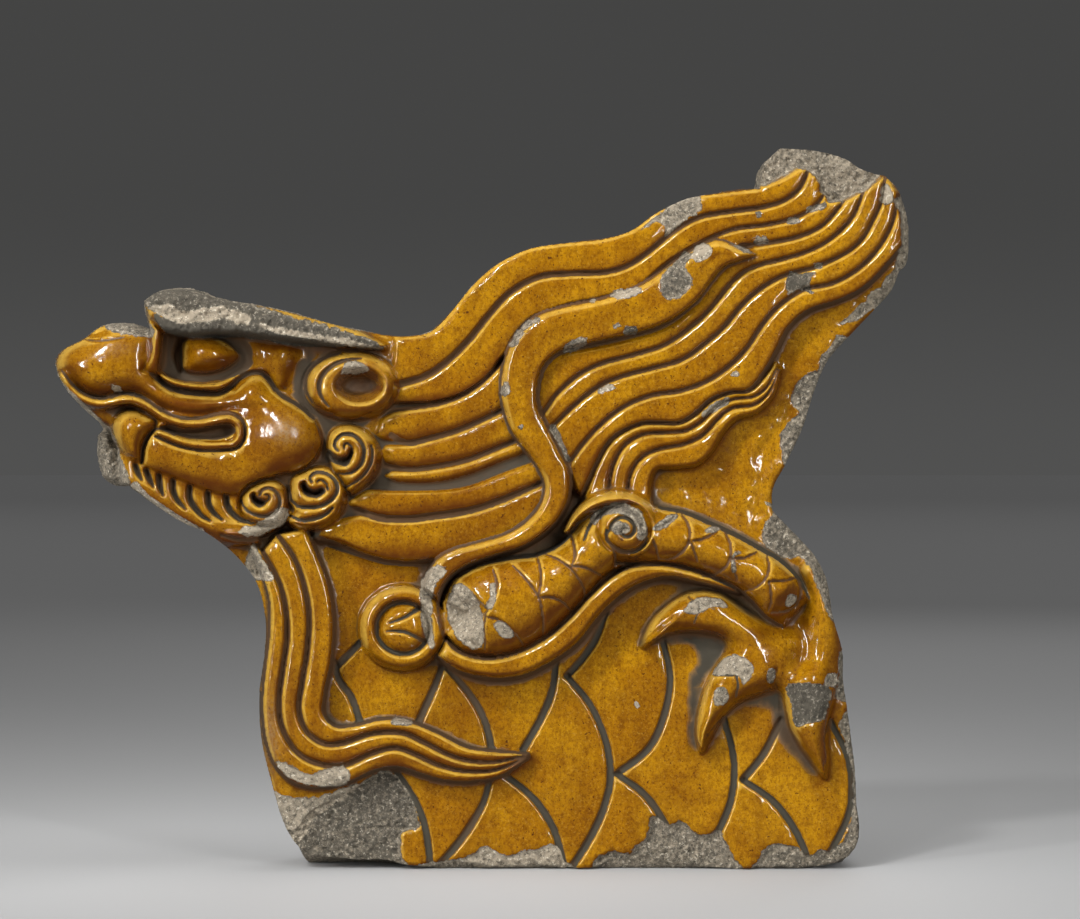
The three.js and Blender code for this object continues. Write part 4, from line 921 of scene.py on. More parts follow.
@dataclass
class Head:
    """The dragon's head in profile: brow, eye, snout, mouth, cheek, ear, curls and fringe."""

    ground: Line = (
        -165.5+272j, -178+274j, -190+273j, -203+265j, -212+258j, -214+252j, -207+240j, -194+226j, -184+220j,
        -182+206j, -173+196j, -150+186j, -130+176j, -112+174j, -92+180j, -74+192j, -60+206j, -53+222j,
        -48+234j, -46+250j, -46+268j, -58+272j, -90+280j, -133+289j, -150+293j, -168+290j,
    )
    jaw: Line = (
        -170.5+226j, -171+212j, -169+203j, -162.3+199.5j, -152.3+196j, -141.5+191.5j, -129+188j,
        -119+188.7j, -110.7+193j, -104+197.5j, -92+200j, -84+206j, -81+214j, -84+224j, -92+232j, -104+240j,
        -112+246j, -120+243j, -124+234j, -140+228j, -155+230j,
    )
    muzzle: Line = (
        -164.5+268j, -178+273j, -190+272j, -201+265j, -210.5+258.5j, -213.6+252j, -209+246.5j, -203+240.5j,
        -198+237.5j, -192+236j, -186+236.5j, -181+238j, -176+238j, -171+236.5j, -162+230.5j, -157+228j,
        -150+226j, -143+225.8j, -137+227j, -131+228.5j, -124+228j, -118+224j, -106+226j, -100+234j,
        -106+243j, -112+247.7j, -120+246.3j, -127+240j, -133+237.6j, -140+238j, -148+239j, -156+241.3j,
        -162+246j, -164+256j,
    )
    lip: Line = (
        -210+247j, -204.5+238.5j, -198+234.6j, -191+233j, -183+234.6j, -176+235.2j, -168+232j, -160+226.6j,
        -150+223.4j, -141+223j, -131+225.2j, -126+225.4j, -122.3+222.6j, -121.6+217j, -124.4+213.2j,
        -132+212.2j, -142+212.3j, -152.5+214.6j, -163+219.4j,
    )
    lip_groove: Line = (
        -210.5+249.5j, -207+245j, -203+240.5j, -198+237.5j, -192+236j, -186+236.5j, -181+238j, -176+238j,
        -171+236.5j, -166+233.5j, -162+230.5j, -157+228j, -150+226j, -143+225.8j, -137+227j, -131+228.5j,
        -126+228.5j, -122+226.5j, -119.5+223.5j, -119.2+216.7j, -122.3+211.3j, -130.7+209.8j, -141.5+209.8j,
        -152.3+212j, -163.8+216.7j,
    )
    mouth: Line = (
        -164.6+220.4j, -158+222.3j, -150+220.4j, -140.7+220.8j, -129+222.9j, -125+222j, -124+219j,
        -127+216.4j, -137+215j, -148.4+215.8j, -158.4+219j,
    )
    fang: Line = (
        -184+226j, -178+230j, -170+229j, -163+224.6j, -163.5+221.5j, -167+217j, -169.8+210.6j, -170.6+204j,
        -176+205j, -182+212j, -185+219j,
    )
    lid_groove: Line = (
        -167+252.5j, -166+249j, -162+245j, -156+241j, -148+239j, -140+238.3j, -133+238j, -129+239.5j,
        -125+243j, -120+247j, -115+248.7j, -110+248.3j, -106+243.7j, -103+239j, -96+234.4j, -90+230.6j,
        -85+225.7j,
    )
    lid: tuple[Line, Line] = (
        (-162+249.5j, -158+247j, -150+244.2j, -140+243.4j, -132+244.2j, -126+246.5j, -119+250j),
        (-162+247j, -156+242.2j, -148+240.4j, -140+239.7j, -133+239.5j, -128+241.4j, -121+246.6j),
    )
    temple: Line = (
        -127+243j, -122+248.4j, -118+251.6j, -115.4+255j, -116+260j, -120+264.5j, -104+265j, -94+263j,
        -93.5+255j, -97.5+248j, -99.5+240.5j, -103+241j, -106.5+246.2j, -111+248.6j, -116+248.2j,
        -121+245.4j, -125+241.6j,
    )
    behind_cheek: Line = (
        -92+234j, -88+230j, -82.5+226j, -79+218j, -79+208j, -82+203j, -78+203j, -76+206j, -78+214j,
        -76+221j, -68+224.6j, -60+222j, -56+226j, -66+226.4j, -78+229j, -87+235j, -89.6+245j, -86+254j,
        -90+256j, -95+246j,
    )
    socket: Line = (
        -160.8+268j, -161.6+257j, -160.6+249.5j, -156+246.6j, -149+244.4j, -140+243.8j, -131+244.8j,
        -125+246.6j, -119+249.4j, -115.4+253.6j, -115.6+260j, -120+266j, -140+270j,
    )
    eyeball: Line = (
        -149.6+264j, -150+257j, -149.2+250.6j, -144+248.8j, -137+248.8j, -131+250.2j, -126+253j,
        -122.4+257j, -126+261.5j, -132+265.5j, -141+267.6j, -147.6+267j,
    )
    brow: tuple[Line, Line] = (
        (-171+287j, -160+292j, -148+293j, -135+288.5j, -118+285.5j, -100+281j, -80+275.5j, -62+269.5j,
         -49+262.5j),
        (-166+275j, -161+269.5j, -146+267j, -133+268j, -117+267j, -104+265j, -83+263j, -66+261j, -49+260.5j),
    )
    pillar: tuple[Line, Line] = (
        (-169+284j, -167.4+275j, -166.4+266j, -166.6+258j, -170+250j),
        (-158+284j, -159.6+276j, -160.4+267j, -161.2+258j, -162.6+248.5j),
    )
    ear: tuple[Point, Point, float] = ((-66.0, 242.3), (24.0, 18.0), 27.0)
    ear_hollow: tuple[Point, Point, float] = ((-61.6, 242.2), (13.0, 9.6), 11.0)
    ear_lines: tuple[Line, ...] = (
        (-61+255.8j, -68+255j, -74.6+252.6j, -80.2+247.5j, -82+242j, -80.8+236.5j, -77.2+231.8j),
        (-71+258.4j, -79+256j, -85.3+251.6j, -88.6+246j, -88.6+240j, -85.3+233.7j),
    )
    curls: tuple[Curl, ...] = (
        Curl(
            (-66+187.5j, -59+191.5j, -53+198j, -50.8+205j, -51.5+211j, -55.5+217.5j, -62+222j, -70+223j,
             -76.5+219.5j, -78.6+213j, -78+207j, -76+203j, -75+199.5j, -72+196j, -69.5+192j),
            (
                ((-68.5+191.4j, -63+194.6j, -58.5+199j, -56+204j, -55.3+209j, -56+212j), 2.0),
                (
                    (-72.5+198j, -66+198.6j, -61.6+202j, -59.6+207j, -59.8+211.5j, -62.4+215.6j,
                     -66.2+217.8j, -70.4+217.6j, -73.4+215j, -74.2+211.8j, -72.6+209.8j),
                    2.5,
                ),
                ((-66+208j, -65.6+211j, -67.5+213.2j, -69.6+212.6j, -69.2+210.6j), 1.3),
            ),
            (-78.5+209j, -76.5+205.4j, -73+202.6j, -69+202j, -66.5+204j, -65+207j, -64.9+210j, -66.6+210.3j,
             -68+207.3j, -71+206.3j, -74.4+207.8j, -77.2+210.3j),
        ),
        Curl(
            (-97.8+175j, -95+171.4j, -88+169.8j, -79+171j, -71.5+176.5j, -68.2+183j, -68+191j, -71.5+198j,
             -78+201.7j, -85+202j, -90+199.8j, -95.5+197j, -97+190j, -96.6+183j, -94.5+180j),
            (
                ((-96.5+177.2j, -91+175j, -84.6+175.6j, -78.5+178j, -75.4+181j), 2.6),
                (
                    (-96.6+192j, -96+186j, -93+182.2j, -88+181.4j, -82+181.8j, -76.6+184.4j, -73.5+188j,
                     -73+192.4j, -75.6+196.4j, -80+198.6j, -84+198.5j, -86.4+196.4j, -85.8+194j),
                    2.4,
                ),
                ((-77.6+190j, -78.6+193.6j, -81.4+195j, -83.2+194j), 1.2),
            ),
            (-91.4+193j, -90.2+188.6j, -86.5+186.4j, -81.4+186.8j, -79+189.4j, -80.6+191j, -84+190j,
             -87.4+191.4j, -89+194.4j),
            24.0,
        ),
        Curl(
            (-121+187.5j, -118+191.5j, -112.5+194.4j, -106+195.8j, -100+193j, -97+187j, -97.2+179j,
             -100.5+173j, -108+171.5j, -117+174j, -121.5+180j),
            (
                (
                    (-121+185j, -118.8+180.6j, -114+177.6j, -108+177j, -103.2+179.8j, -101.6+184.6j,
                     -103.4+189j, -107.4+191j, -110.8+189.6j, -111.6+187.2j),
                    2.3,
                ),
                ((-109.4+184j, -107+185.4j, -107.4+187.4j, -109.4+187.8j), 1.2),
            ),
            (-116.4+187.5j, -114.8+183j, -112+181.4j, -109.2+182j, -108+184.4j, -110+185.3j, -113+186.5j,
             -114.2+189j),
            22.5,
        ),
    )
    fringe: tuple[Line, Line] = (
        (-182+210j, -173+207j, -162+203.5j, -147+198j, -131+193.5j, -117+192j),
        (-180+189j, -165+179j, -152+170.5j, -139+165j, -127+162.5j, -112+163j),
    )
    fingers: tuple[Line, ...] = (
        (-173.8+202j, -172.4+198.4j, -170.6+195j), (-168.4+199.6j, -166.8+195.6j, -164.8+191.6j),
        (-162+197j, -161.6+192.4j, -160+187.4j), (-155+194.4j, -154.8+189.4j, -152.6+184.6j, -148.8+180.6j),
        (-146.6+191.4j, -146.6+186j, -144+181j, -140.4+177j, -136.6+174.6j),
        (-137.5+188.4j, -137+183j, -134.6+178.6j, -130.4+175j),
        (-128.6+187.2j, -127.6+182j, -124.6+177.6j, -120+174.6j, -114.5+173.6j),
    )
    # browner patches: the head and snout a little browner overall; the thin bands under the nostril, above
    # the lip, under the jaw, cheek and ear and on the snout's left side are painted shade
    browns: tuple[tuple[Point, Point, float, float], ...] = (
        ((-128, 220), (50, 40), 0.55, 0), ((-186, 258), (18, 9), 0.35, 0), ((-207, 250), (7, 10), 0.7, 30),
        ((-108, 257), (12, 9), 0.4, 0), ((-190, 239), (10, 3), 0.9, 0), ((-143, 231.5), (22, 4), 0.9, -4),
        ((-130, 192), (34, 4), 0.6, -6), ((-93, 202), (9, 5), 0.6, 0), ((-60, 229), (16, 4), 0.6, 0),
    )
    lump: Line = (
        -193.5+219j, -194.5+210j, -193.5+203j, -190+194.5j, -182.5+191j, -176+192.5j, -176+199j, -180+206j,
        -183+213j, -186+219j,
    )

    def carve(self, relief: Relief) -> None:
        """Carves the head from its ground up.

        Args:
            relief: The height field.
        """
        relief.swell(self.ground, 12.0, 9.5, 7.0, soften=1.5, soft=2.0)
        relief.swell(self.lump, 6.0, -8.0, 7.0, soften=1.0)
        self.carve_fringe(relief)
        self.carve_face(relief)
        self.carve_mouth(relief)
        self.carve_eye(relief)
        self.carve_ear(relief)
        for curl in reversed(self.curls):
            curl.carve(relief)

    def carve_fringe(self, relief: Relief) -> None:
        """The rolled band below the jaw and the curved fingers cut into it.

        Args:
            relief: The height field.
        """
        top, foot = (smooth_line(points) for points in self.fringe)
        relief.lock(top, foot, 17.5, 5.0, bevels=(3.0, 9.0), dome=0.5, fade=(0.1, 0))
        relief.bead([-128+168.5j, -119+169j, -108+172.5j, -98+178j], [5, 8, 8, 6], 19.5, 12.0, over=False)
        relief.groove([-131+167.4j, -122+164.9j, -112+165.6j, -104+168.6j, -98+172.6j],
                      [2.0, 2.8, 2.8, 2.0], 2.2, dirt=0.6)
        for points in self.fingers:
            relief.groove(smooth_line(points, 0.8), [3.4, 3.7, 3.0, 1.2], 5.0, dirt=0.95)
        # thin browner bands on the lower side of the fringe: painted shade
        for centre, radii, turn in (((-150, 177), (26, 3), -32), ((-122, 167), (14, 2.6), 0)):
            relief.blot("stain_and_painted_shade", centre, radii, 0.6, turn)

    def carve_face(self, relief: Relief) -> None:
        """The jaw and cheek, the snout with the roll behind it, and the lower lid.

        Args:
            relief: The height field.
        """
        relief.swell(self.jaw, 26.0, 18.5, 12.0, soften=2.2, soft=1.0)
        relief.blot("rise", (-99, 217), (13, 13), 5.5)
        relief.swell(self.muzzle, 27.5, 13.0, 11.0, soften=2.2, over=False)
        relief.blot("rise", (-190, 251), (13, 9), 2.5)
        relief.swell(ellipse((-191, 268.5), (7.5, 3.6))[:-1], 22.0, 12.0, 3.5, soften=0.8, over=False)
        relief.groove([-199.5+265.3j, -192.3+264.4j, -186+265.2j, -179+266.5j], [1, 1.8, 1], 1.2, dirt=0.5)
        temple = smooth_line(self.temple, closed=True)
        relief.swell(temple, 20.5, 13.0, 8.0, soft=3.0, soften=2.0)
        relief.lock(*self.lid, 22.5, 15.0, bevels=(2.6, 2.6), dome=0.5, fade=(0.12, 0.0), over=False)
        relief.soften([-130+244j, -122+249j, -114+256j, -104+256j, -108+249j, -116+247j, -124+242j], 1.4)
        relief.soften([-121+250j, -120+262j, -108+268j, -92+266j, -88+254j, -96+242j, -104+248j, -112+252j],
                      2.4)
        relief.groove(self.lid_groove, [2.2, 3.6, 3.0, 2.8, 2.6, 2.4, 2.0], 3.2, dirt=0.95, flat=0.5)
        relief.blot("worn", (-184, 260), (13, 3.2), 0.2, 2)
        relief.blot("worn", (-98.5, 219.5), (6.5, 5.5), 0.8)
        for centre, radii, amount, turn in self.browns:
            relief.blot("stain_and_painted_shade", centre, radii, amount, turn)
        relief.dust(self.behind_cheek, 0.95)

    def carve_mouth(self, relief: Relief) -> None:
        """The lip that runs round the mouth, the slot inside it, and the fang at its front.

        Args:
            relief: The height field.
        """
        relief.bead(self.lip, [4.4, 5.2, 5.2, 5.0, 4.8, 4.4], 28.0, 23.0, power=3.0, soft=0.8)
        slot = smooth_line(self.mouth, 1.0, closed=True)
        relief.scoop(slot, 15.0, 1.8, soft=0.5)
        relief.dust(slot, 0.9, soft=0.8)
        relief.groove(self.lip_groove, [1.6, 2.0, 2.0, 2.0, 1.8, 1.4], 2.6, dirt=0.85)
        relief.swell(self.fang, 30.0, 14.0, 9.5, soften=1.2)
        relief.groove([-163+220.6j, -167.5+216.7j, -170+210.6j, -170.7+203.5j],
                      [1.4, 2.6, 2.6, 2.0], 2.6, dirt=0.7)

    def carve_eye(self, relief: Relief) -> None:
        """The deep socket, the almond eyeball cut straight at its front, and the brow over it.

        Args:
            relief: The height field.
        """
        socket = smooth_line(self.socket, closed=True)
        relief.scoop(socket, 10.0, 4.5, soft=0.8)
        relief.dust(socket, 0.97, soft=1.0)
        ball = smooth_line(self.eyeball, 1.0, closed=True)
        relief.swell(ball, 26.0, 11.0, 10.0, soften=3.0)
        window, d = relief.depth_in(ball, 3.0)
        relief.grime[window] *= 1 - eased(d, -0.6, 0.8)
        relief.groove([-152+265j, -153.6+257j, -151.6+250j], [3, 4.2, 3], 4.5, dirt=1.0, brown=0.8)
        relief.lock(*self.pillar, 30.0, 21.0, bevels=(9.0, 2.4), dome=0.3, fade=(0, 0.5), soft=2.0)
        relief.lock(*self.brow, 35.0, 20.0, bevels=(14.0, 3.0), dome=0.0, fade=(0, 0.5))
        relief.blot("stain_and_painted_shade", (-164, 264), (6, 14), 1.0)
        relief.blot("stain_and_painted_shade", (-96, 280), (50, 5), 0.7, -15)
        # a browner band just under the brow: painted shadow of the brow
        relief.blot("stain_and_painted_shade", (-90, 261), (30, 2.6), 0.9, -4)

    def carve_ear(self, relief: Relief) -> None:
        """The round ear: a thick ring about a deep bowl, with two lines winding round its front.

        Args:
            relief: The height field.
        """
        centre, radii, crest = self.ear
        relief.swell(ellipse(centre, radii)[:-1], crest, 9.0, 8.0, soften=1.0)
        centre, radii, floor = self.ear_hollow
        relief.scoop(ellipse(centre, radii)[:-1], floor, 6.5, soft=1.0)
        for points, width in zip(self.ear_lines, (2.9, 2.7)):
            relief.groove(points, [1.0, width, width, 1.2], 3.2, dirt=0.8, brown=0.5)
        # browner inside the bowl: painted shade
        relief.blot("stain_and_painted_shade", self.ear_hollow[0], (12, 8), 0.7)
        relief.blot("worn", (-64, 244), (10, 7), 0.5)


# ---------- breaks and bare clay


@dataclass(frozen=True)
class Break:
    """A patch where glaze or clay is gone."""

    outline: Line
    depth: float = 0.9
    pale: float = 0.35
    level: Union[float, None] = None
    rough: float = 0.7
    wander: float = 1.2


@dataclass
class Breaks:
    """Every chip, worn patch and broken edge of the tile."""

    patches: tuple[Break, ...] = (
        # the broken brow: its whole front is rough clay, lightest along the ridge
        Break((-170+285j, -160+292j, -146+293j, -135+288j, -122+284.5j, -96+277j, -72+270.5j, -60+267j,
               -52+263.5j, -50+260.5j, -58+260.5j, -72+263j, -87+262.6j, -104+265j, -117+267.2j, -133+267.6j,
               -146+267j, -158+270j, -160+276j, -166+279j), 0.6, -0.02, rough=1.0),
        Break((-167+281j, -160+283.5j, -150+280j, -136+281.5j, -127+281j, -116+276j, -118+273j, -130+275j,
               -140+273.8j, -152+273.5j, -160+276j), 0.2, 0.86, rough=0.5),
        Break((-112+273j, -96+270.5j, -80+267.5j, -62+264.5j, -56+262j, -66+262.4j, -84+265j, -104+268.5j),
              0.1, 0.78, rough=0.4),
        # a dark strip of clay along the brow's underside: painted shadow
        Break((-165+279j, -152+272.6j, -138+272j, -124+271.6j, -112+269.6j, -96+267j, -78+264j, -70+262j,
               -87+261.5j, -104+264j, -120+266j, -140+266j, -158+268j), 0.1, -0.7, rough=0.3),
        # the stub at the top right and the mane's broken tip
        Break((136+341.5j, 139+356j, 149+364j, 168+363j, 184+358j, 194+351j, 199+347.5j, 191+340j, 184+337j,
               175+333.5j, 170+338j, 165.5+347j, 158+350.5j, 148+345.5j), 1.0, 0.42, level=-4.0, rough=1.1),
        # bottom left corner
        Break((-104+20j, -93.8+20j, -88.4+28j, -79+34j, -68.4+40j, -61.5+44j, -51.5+49j, -44.6+48.5j,
               -40+42.7j, -34.6+34j, -32.3+25.8j, -31.5+21j, -40+18j, -41+13.5j, -40.7+8j, -37+0j, -90+0j,
               -102+12j), 3.4, 0.16, level=-3.0, rough=1.3),
        Break((-106+40j, -98+37j, -86+36.5j, -76+38.5j, -66+43j, -60+44j, -68+36j, -84+26j, -92+14j,
               -106+18j), 1.4, 0.5, level=-0.5, rough=0.6),
        # bottom right edge
        Break((55-3j, 55+3j, 60+8j, 65+9.5j, 74+8.5j, 75+12j, 81+14.5j, 83+24j, 84.5+27j, 88+26j, 94+22j,
               97+24j, 100+24j, 105+19.5j, 111+17j, 118+20j, 122+12j, 126+6j, 130-3j), 2.4, 0.3, level=-3.0,
              rough=1.2),
        Break((133-3j, 134+1.5j, 138+6j, 141+10.5j, 146+13j, 152+13j, 157+12j, 160+8.5j, 164+7j, 168+10.5j,
               174+10j, 180+15j, 184+25j, 185+40j, 183.5+55j, 180+65j, 178+72j, 183+80j, 195+60j, 195-3j),
              2.0, 0.28, rough=0.9),
        # bottom edge between the scales
        Break((-40-3j, -30+3j, -20+4.5j, -8+7j, 1+12j, 10+7.5j, 18+9j, 27+10.5j, 36+13j, 40+6j, 46+1j, 50-3j),
              1.6, 0.6, rough=1.0),
        # shoulder and flank on the right
        Break((141+184j, 145+179j, 142+174j, 140+169j, 140+165j, 143+160.5j, 148+157j, 153+155.5j, 158+156.5j,
               162+153j, 165.5+147j, 167+141j, 169+137j, 171+131j, 175+124j, 183+120j, 178+150j, 160+172j),
              1.2, 0.25, rough=0.9),
        Break((177+86j, 177+92j, 178+100j, 178+108j, 186+112j, 188+84j), 1.0, 0.2),
        Break((170+93j, 173+98.5j, 177+97.5j, 177+92j, 173+91j), 0.8, 0.4),
        # under the mane, down the right edge
        Break((178+268j, 173+260j, 168.5+256.5j, 168.5+251j, 163+248.5j, 158+244.5j, 155+240j, 155+233j,
               157.5+229j, 153+223.5j, 150+220j, 149+209j, 151+203j, 160+204j, 172+240j, 184+264j), 1.4, 0.3,
              rough=1.0),
        Break((209+300j, 203+297.5j, 199+292j, 193+288.5j, 191.5+285j, 196+281j, 204+281j, 214+298j), 1.2,
              0.45),
        Break((178+273j, 188+275j, 196+284j, 190+284j, 184+278j), 0.9, 0.4),
        Break((206.5+336j, 208.5+326j, 209+313j, 206.5+305j, 216+300j, 218+336j), 0.9, 0.45),
        # chin
        Break((-196+222j, -197+190j, -178+188j, -177+197j, -181+206j, -183.5+214j, -187+221j), 0.6, 0.34,
              rough=1.2),
        # head
        Break((-190+274j, -178+276j, -165+272j, -164.5+266.5j, -172+266.5j, -181+267.4j, -186+269j), 0.5,
              0.3),
        Break((-216+253j, -211+245j, -206.5+240j, -208.5+239j, -215+247j), 0.3, 0.6),
        Break((-186+243j, -183.5+242.6j, -180+240j, -180.4+238.8j, -184.6+240j), 0.2, 0.8),
        Break((-72+247.4j, -66+248j, -59+248.4j, -56.8+250j, -58.8+253j, -65+255.4j, -70+252j), 0.8, 0.75),
        Break((-122+169.4j, -114+166.6j, -106+169.6j, -99+173.4j, -97+179.4j, -101.6+181j, -107+177j,
               -113+173.4j, -120+171.6j), 0.9, 0.7),
        # mane
        Break((78+320j, 85+325.5j, 92+330.6j, 102+337.5j, 108+338j, 109.6+333j, 108+328.4j, 102+325j, 97+321j,
               90+316.4j, 90.6+321.6j, 85+324j, 81+321j), 1.1, 0.42),
        Break((152+287j, 157+290j, 165+288j, 163+294j, 167+300j, 158+298j, 153+300j), 1.2, 0.0),
        Break((165+300j, 170+301j, 169+304j, 165+303j), 0.6, 0.25),
        Break((152+323j, 159+323.6j, 158+326j, 153+326j), 0.6, 0.4),
        Break((136.6+326.4j, 139.4+326.6j, 139+329.4j, 137+329j), 0.6, 0.1),
        Break((135+313.2j, 143+313.4j, 142+316.6j, 137+316.6j), 0.6, 0.3),
        Break((162+329j, 171+330.6j, 171+333.4j, 163+332j), 0.5, 0.3),
        Break((199+334j, 202+332.6j, 204.6+335j, 204+342j, 200.6+343j), 0.7, 0.75),
        Break((208+300j, 205+303j, 209+306j, 212+303j), 0.6, 0.3),
        # ribbon
        Break((89.5+287j, 97+285.6j, 103+289j, 105+296j, 101+301.6j, 105.6+307.4j, 101+309j, 95.4+304j,
               90+298j, 88.4+292j), 1.1, 0.2, wander=1.6),
        Break((104.6+304.6j, 109+303.6j, 114+308j, 112.6+312.6j, 106.6+312j), 0.7, 0.95),
        Break((63+286.4j, 71+286j, 79.4+289j, 78+291.6j, 69+290j, 63+288.6j), 0.4, 0.8),
        Break((53+283.2j, 57+284j, 56.4+286j, 53.6+285.6j), 0.4, 0.8),
        Break((65+271j, 69+271.4j, 68.6+273.4j, 65.4+273j), 0.6, 0.3),
        Break((70.5+267.4j, 77.4+268j, 76.6+272j, 71+271.6j), 1.2, 0.0),
        Break((40+258.5j, 51.5+262.6j, 52+266j, 47+266.6j, 41+262.4j), 1.0, 0.3),
        Break((13+262j, 16+262j, 22+270j, 29+275j, 27+276.6j, 18+271j), 0.5, 0.32),
        Break((9+237j, 12.6+238j, 13+243j, 10.4+244.4j), 0.6, 0.32),
        Break((18.4+220.4j, 20.2+221j, 20+223.2j, 18.2+222.8j), 0.4, 0.2),
        Break((57+237.4j, 62+239j, 66+241j, 64.6+243.4j, 58+240.6j), 0.5, 0.8),
        Break((109+227j, 116+229.6j, 124+234j, 122.6+236.4j, 114+233j), 0.5, 0.45),
        Break((124+247j, 128+247.4j, 127.6+249.6j, 124.4+249.4j), 0.4, 0.4),
        Break((33+222j, 37+214j, 42.6+203j, 44+205j, 39.6+215j, 36+222.6j), 0.6, 0.2),
        Break((121+313.6j, 127+311j, 134+307j, 135+309j, 128+312.6j), 0.3, 0.25),
        # shoulder, arm and elbow
        Break((-30.4+146j, -31.4+132j, -30+120j, -26+110j, -23.4+112j, -25+121j, -25.4+133j, -23.6+142j,
               -18+150j, -23+153j), 0.6, 0.6),
        Break((-17+138j, -12.4+143.6j, -6+140j, -1+131j, 0.4+124j, 0+112j, -4+110.2j, -11+114j, -16.4+122j,
               -18+131j), 0.9, 0.68, rough=1.3, wander=0.8),
        Break((0.4+131j, 3+136j, 3.6+143j, 6+144j, 6.6+137j, 4+130j), 0.5, 0.55, wander=0.6),
        Break((5+123j, 9+124.6j, 14.6+120j, 15.4+116.4j, 10.6+116j, 7+119j), 0.5, 0.55, wander=0.7),
        Break((53+176j, 58+180j, 65+183.4j, 74+182.6j, 80+178j, 82.4+170j, 81+165j, 76.6+165j, 77.4+170j,
               74+175.6j, 68+178j, 60+176.6j, 56+172j), 0.3, 0.34, wander=0.7),
        Break((64+170.6j, 67+174.4j, 72+173.6j, 73.6+169.6j, 70+168j, 66+168j), 0.2, 0.3, wander=0.5),
        Break((84.4+170j, 91+171j, 97.4+177j, 94+178j, 88+174j), 0.4, 0.3, wander=0.5),
        Break((110+169j, 116+168.4j, 119+171j, 114+172j), 0.4, 0.4, wander=0.5),
        Break((124.6+149j, 126.4+149j, 126+157j, 130+158.4j, 128+160j, 124.6+157j), 0.3, 0.3, wander=0.5),
        Break((151+132j, 156+132.6j, 157+137j, 152.6+138j), 0.5, 0.5, wander=0.6),
        # claw
        Break((100.4+129j, 104+134.6j, 113+136.4j, 121+134j, 123+130.6j, 115+131.4j, 108+128j), 0.5, 0.5,
              wander=0.8),
        Break((114.6+97.4j, 118+103.6j, 124+107.6j, 132+105.6j, 135.4+100j, 133+94.6j, 129.6+92j, 127.4+97j),
              1.2, 0.6, wander=0.7),
        Break((115.6+83j, 116+90j, 121+91.6j, 123+86j, 120+82j), 0.7, 0.45, wander=0.8),
        Break((152+92.4j, 161+93.6j, 170+93j, 174+90j, 173+82j, 170.4+75j, 165+73.6j, 157+71.4j, 155+75j,
               154+82j), 1.3, -0.1, wander=0.9),
        Break((142+94j, 145+93.6j, 146+100j, 143+101j), 0.5, 0.3, wander=0.6),
        # beard
        Break((-114.8+164j, -110.7+156.7j, -106+149.5j, -104+144.6j, -110+144.6j, -115+146.5j, -118.6+152j),
              0.9, 0.5, wander=0.8),
        Break((-103.8+54.4j, -97+46j, -85+42j, -68.4+43j, -66.6+47.3j, -69.6+52j, -80.7+50j, -87+47.6j,
               -92.3+50.6j, -98.4+53.6j), 1.3, 0.68, wander=0.9),
        Break((-46+73j, -38+72j, -34+73j, -38+76j, -45+76j), 0.3, 0.5, wander=0.6),
        Break((75.5+85j, 77.6+84j, 78.4+81j, 76.6+80.6j), 0.1, 0.9, wander=0.3),
        # pale unglazed edge under the fringe
        Break((-177+190j, -174+194.6j, -168+188.4j, -160+182.6j, -150+176.2j, -143+172j, -139+170j, -142+166j,
               -160+176j, -172+186j), 0.3, 0.62, rough=0.2, wander=0.4),
        Break((-215+250j, -211.5+245.6j, -203.6+237.4j, -192+226.4j, -188+221j, -196+218j, -216+240j), 0.3,
              0.55, rough=0.2, wander=0.4),
        # pale edge at the neck's back
        Break((2+301.5j, 12+306.5j, 24+311.4j, 34+313.4j, 34+315j, 20+313j, 0+303.4j), 0.2, 0.8, wander=0.4),
    )

    def carve(self, relief: Relief) -> None:
        """Breaks each patch out of the relief, the large ones first.

        Args:
            relief: The height field.
        """
        for patch in self.patches:
            relief.chip(smooth_line(patch.outline, 1.2, closed=True), patch.depth, patch.pale, patch.level,
                        patch.rough, patch.wander)


# ---------- the closed mesh


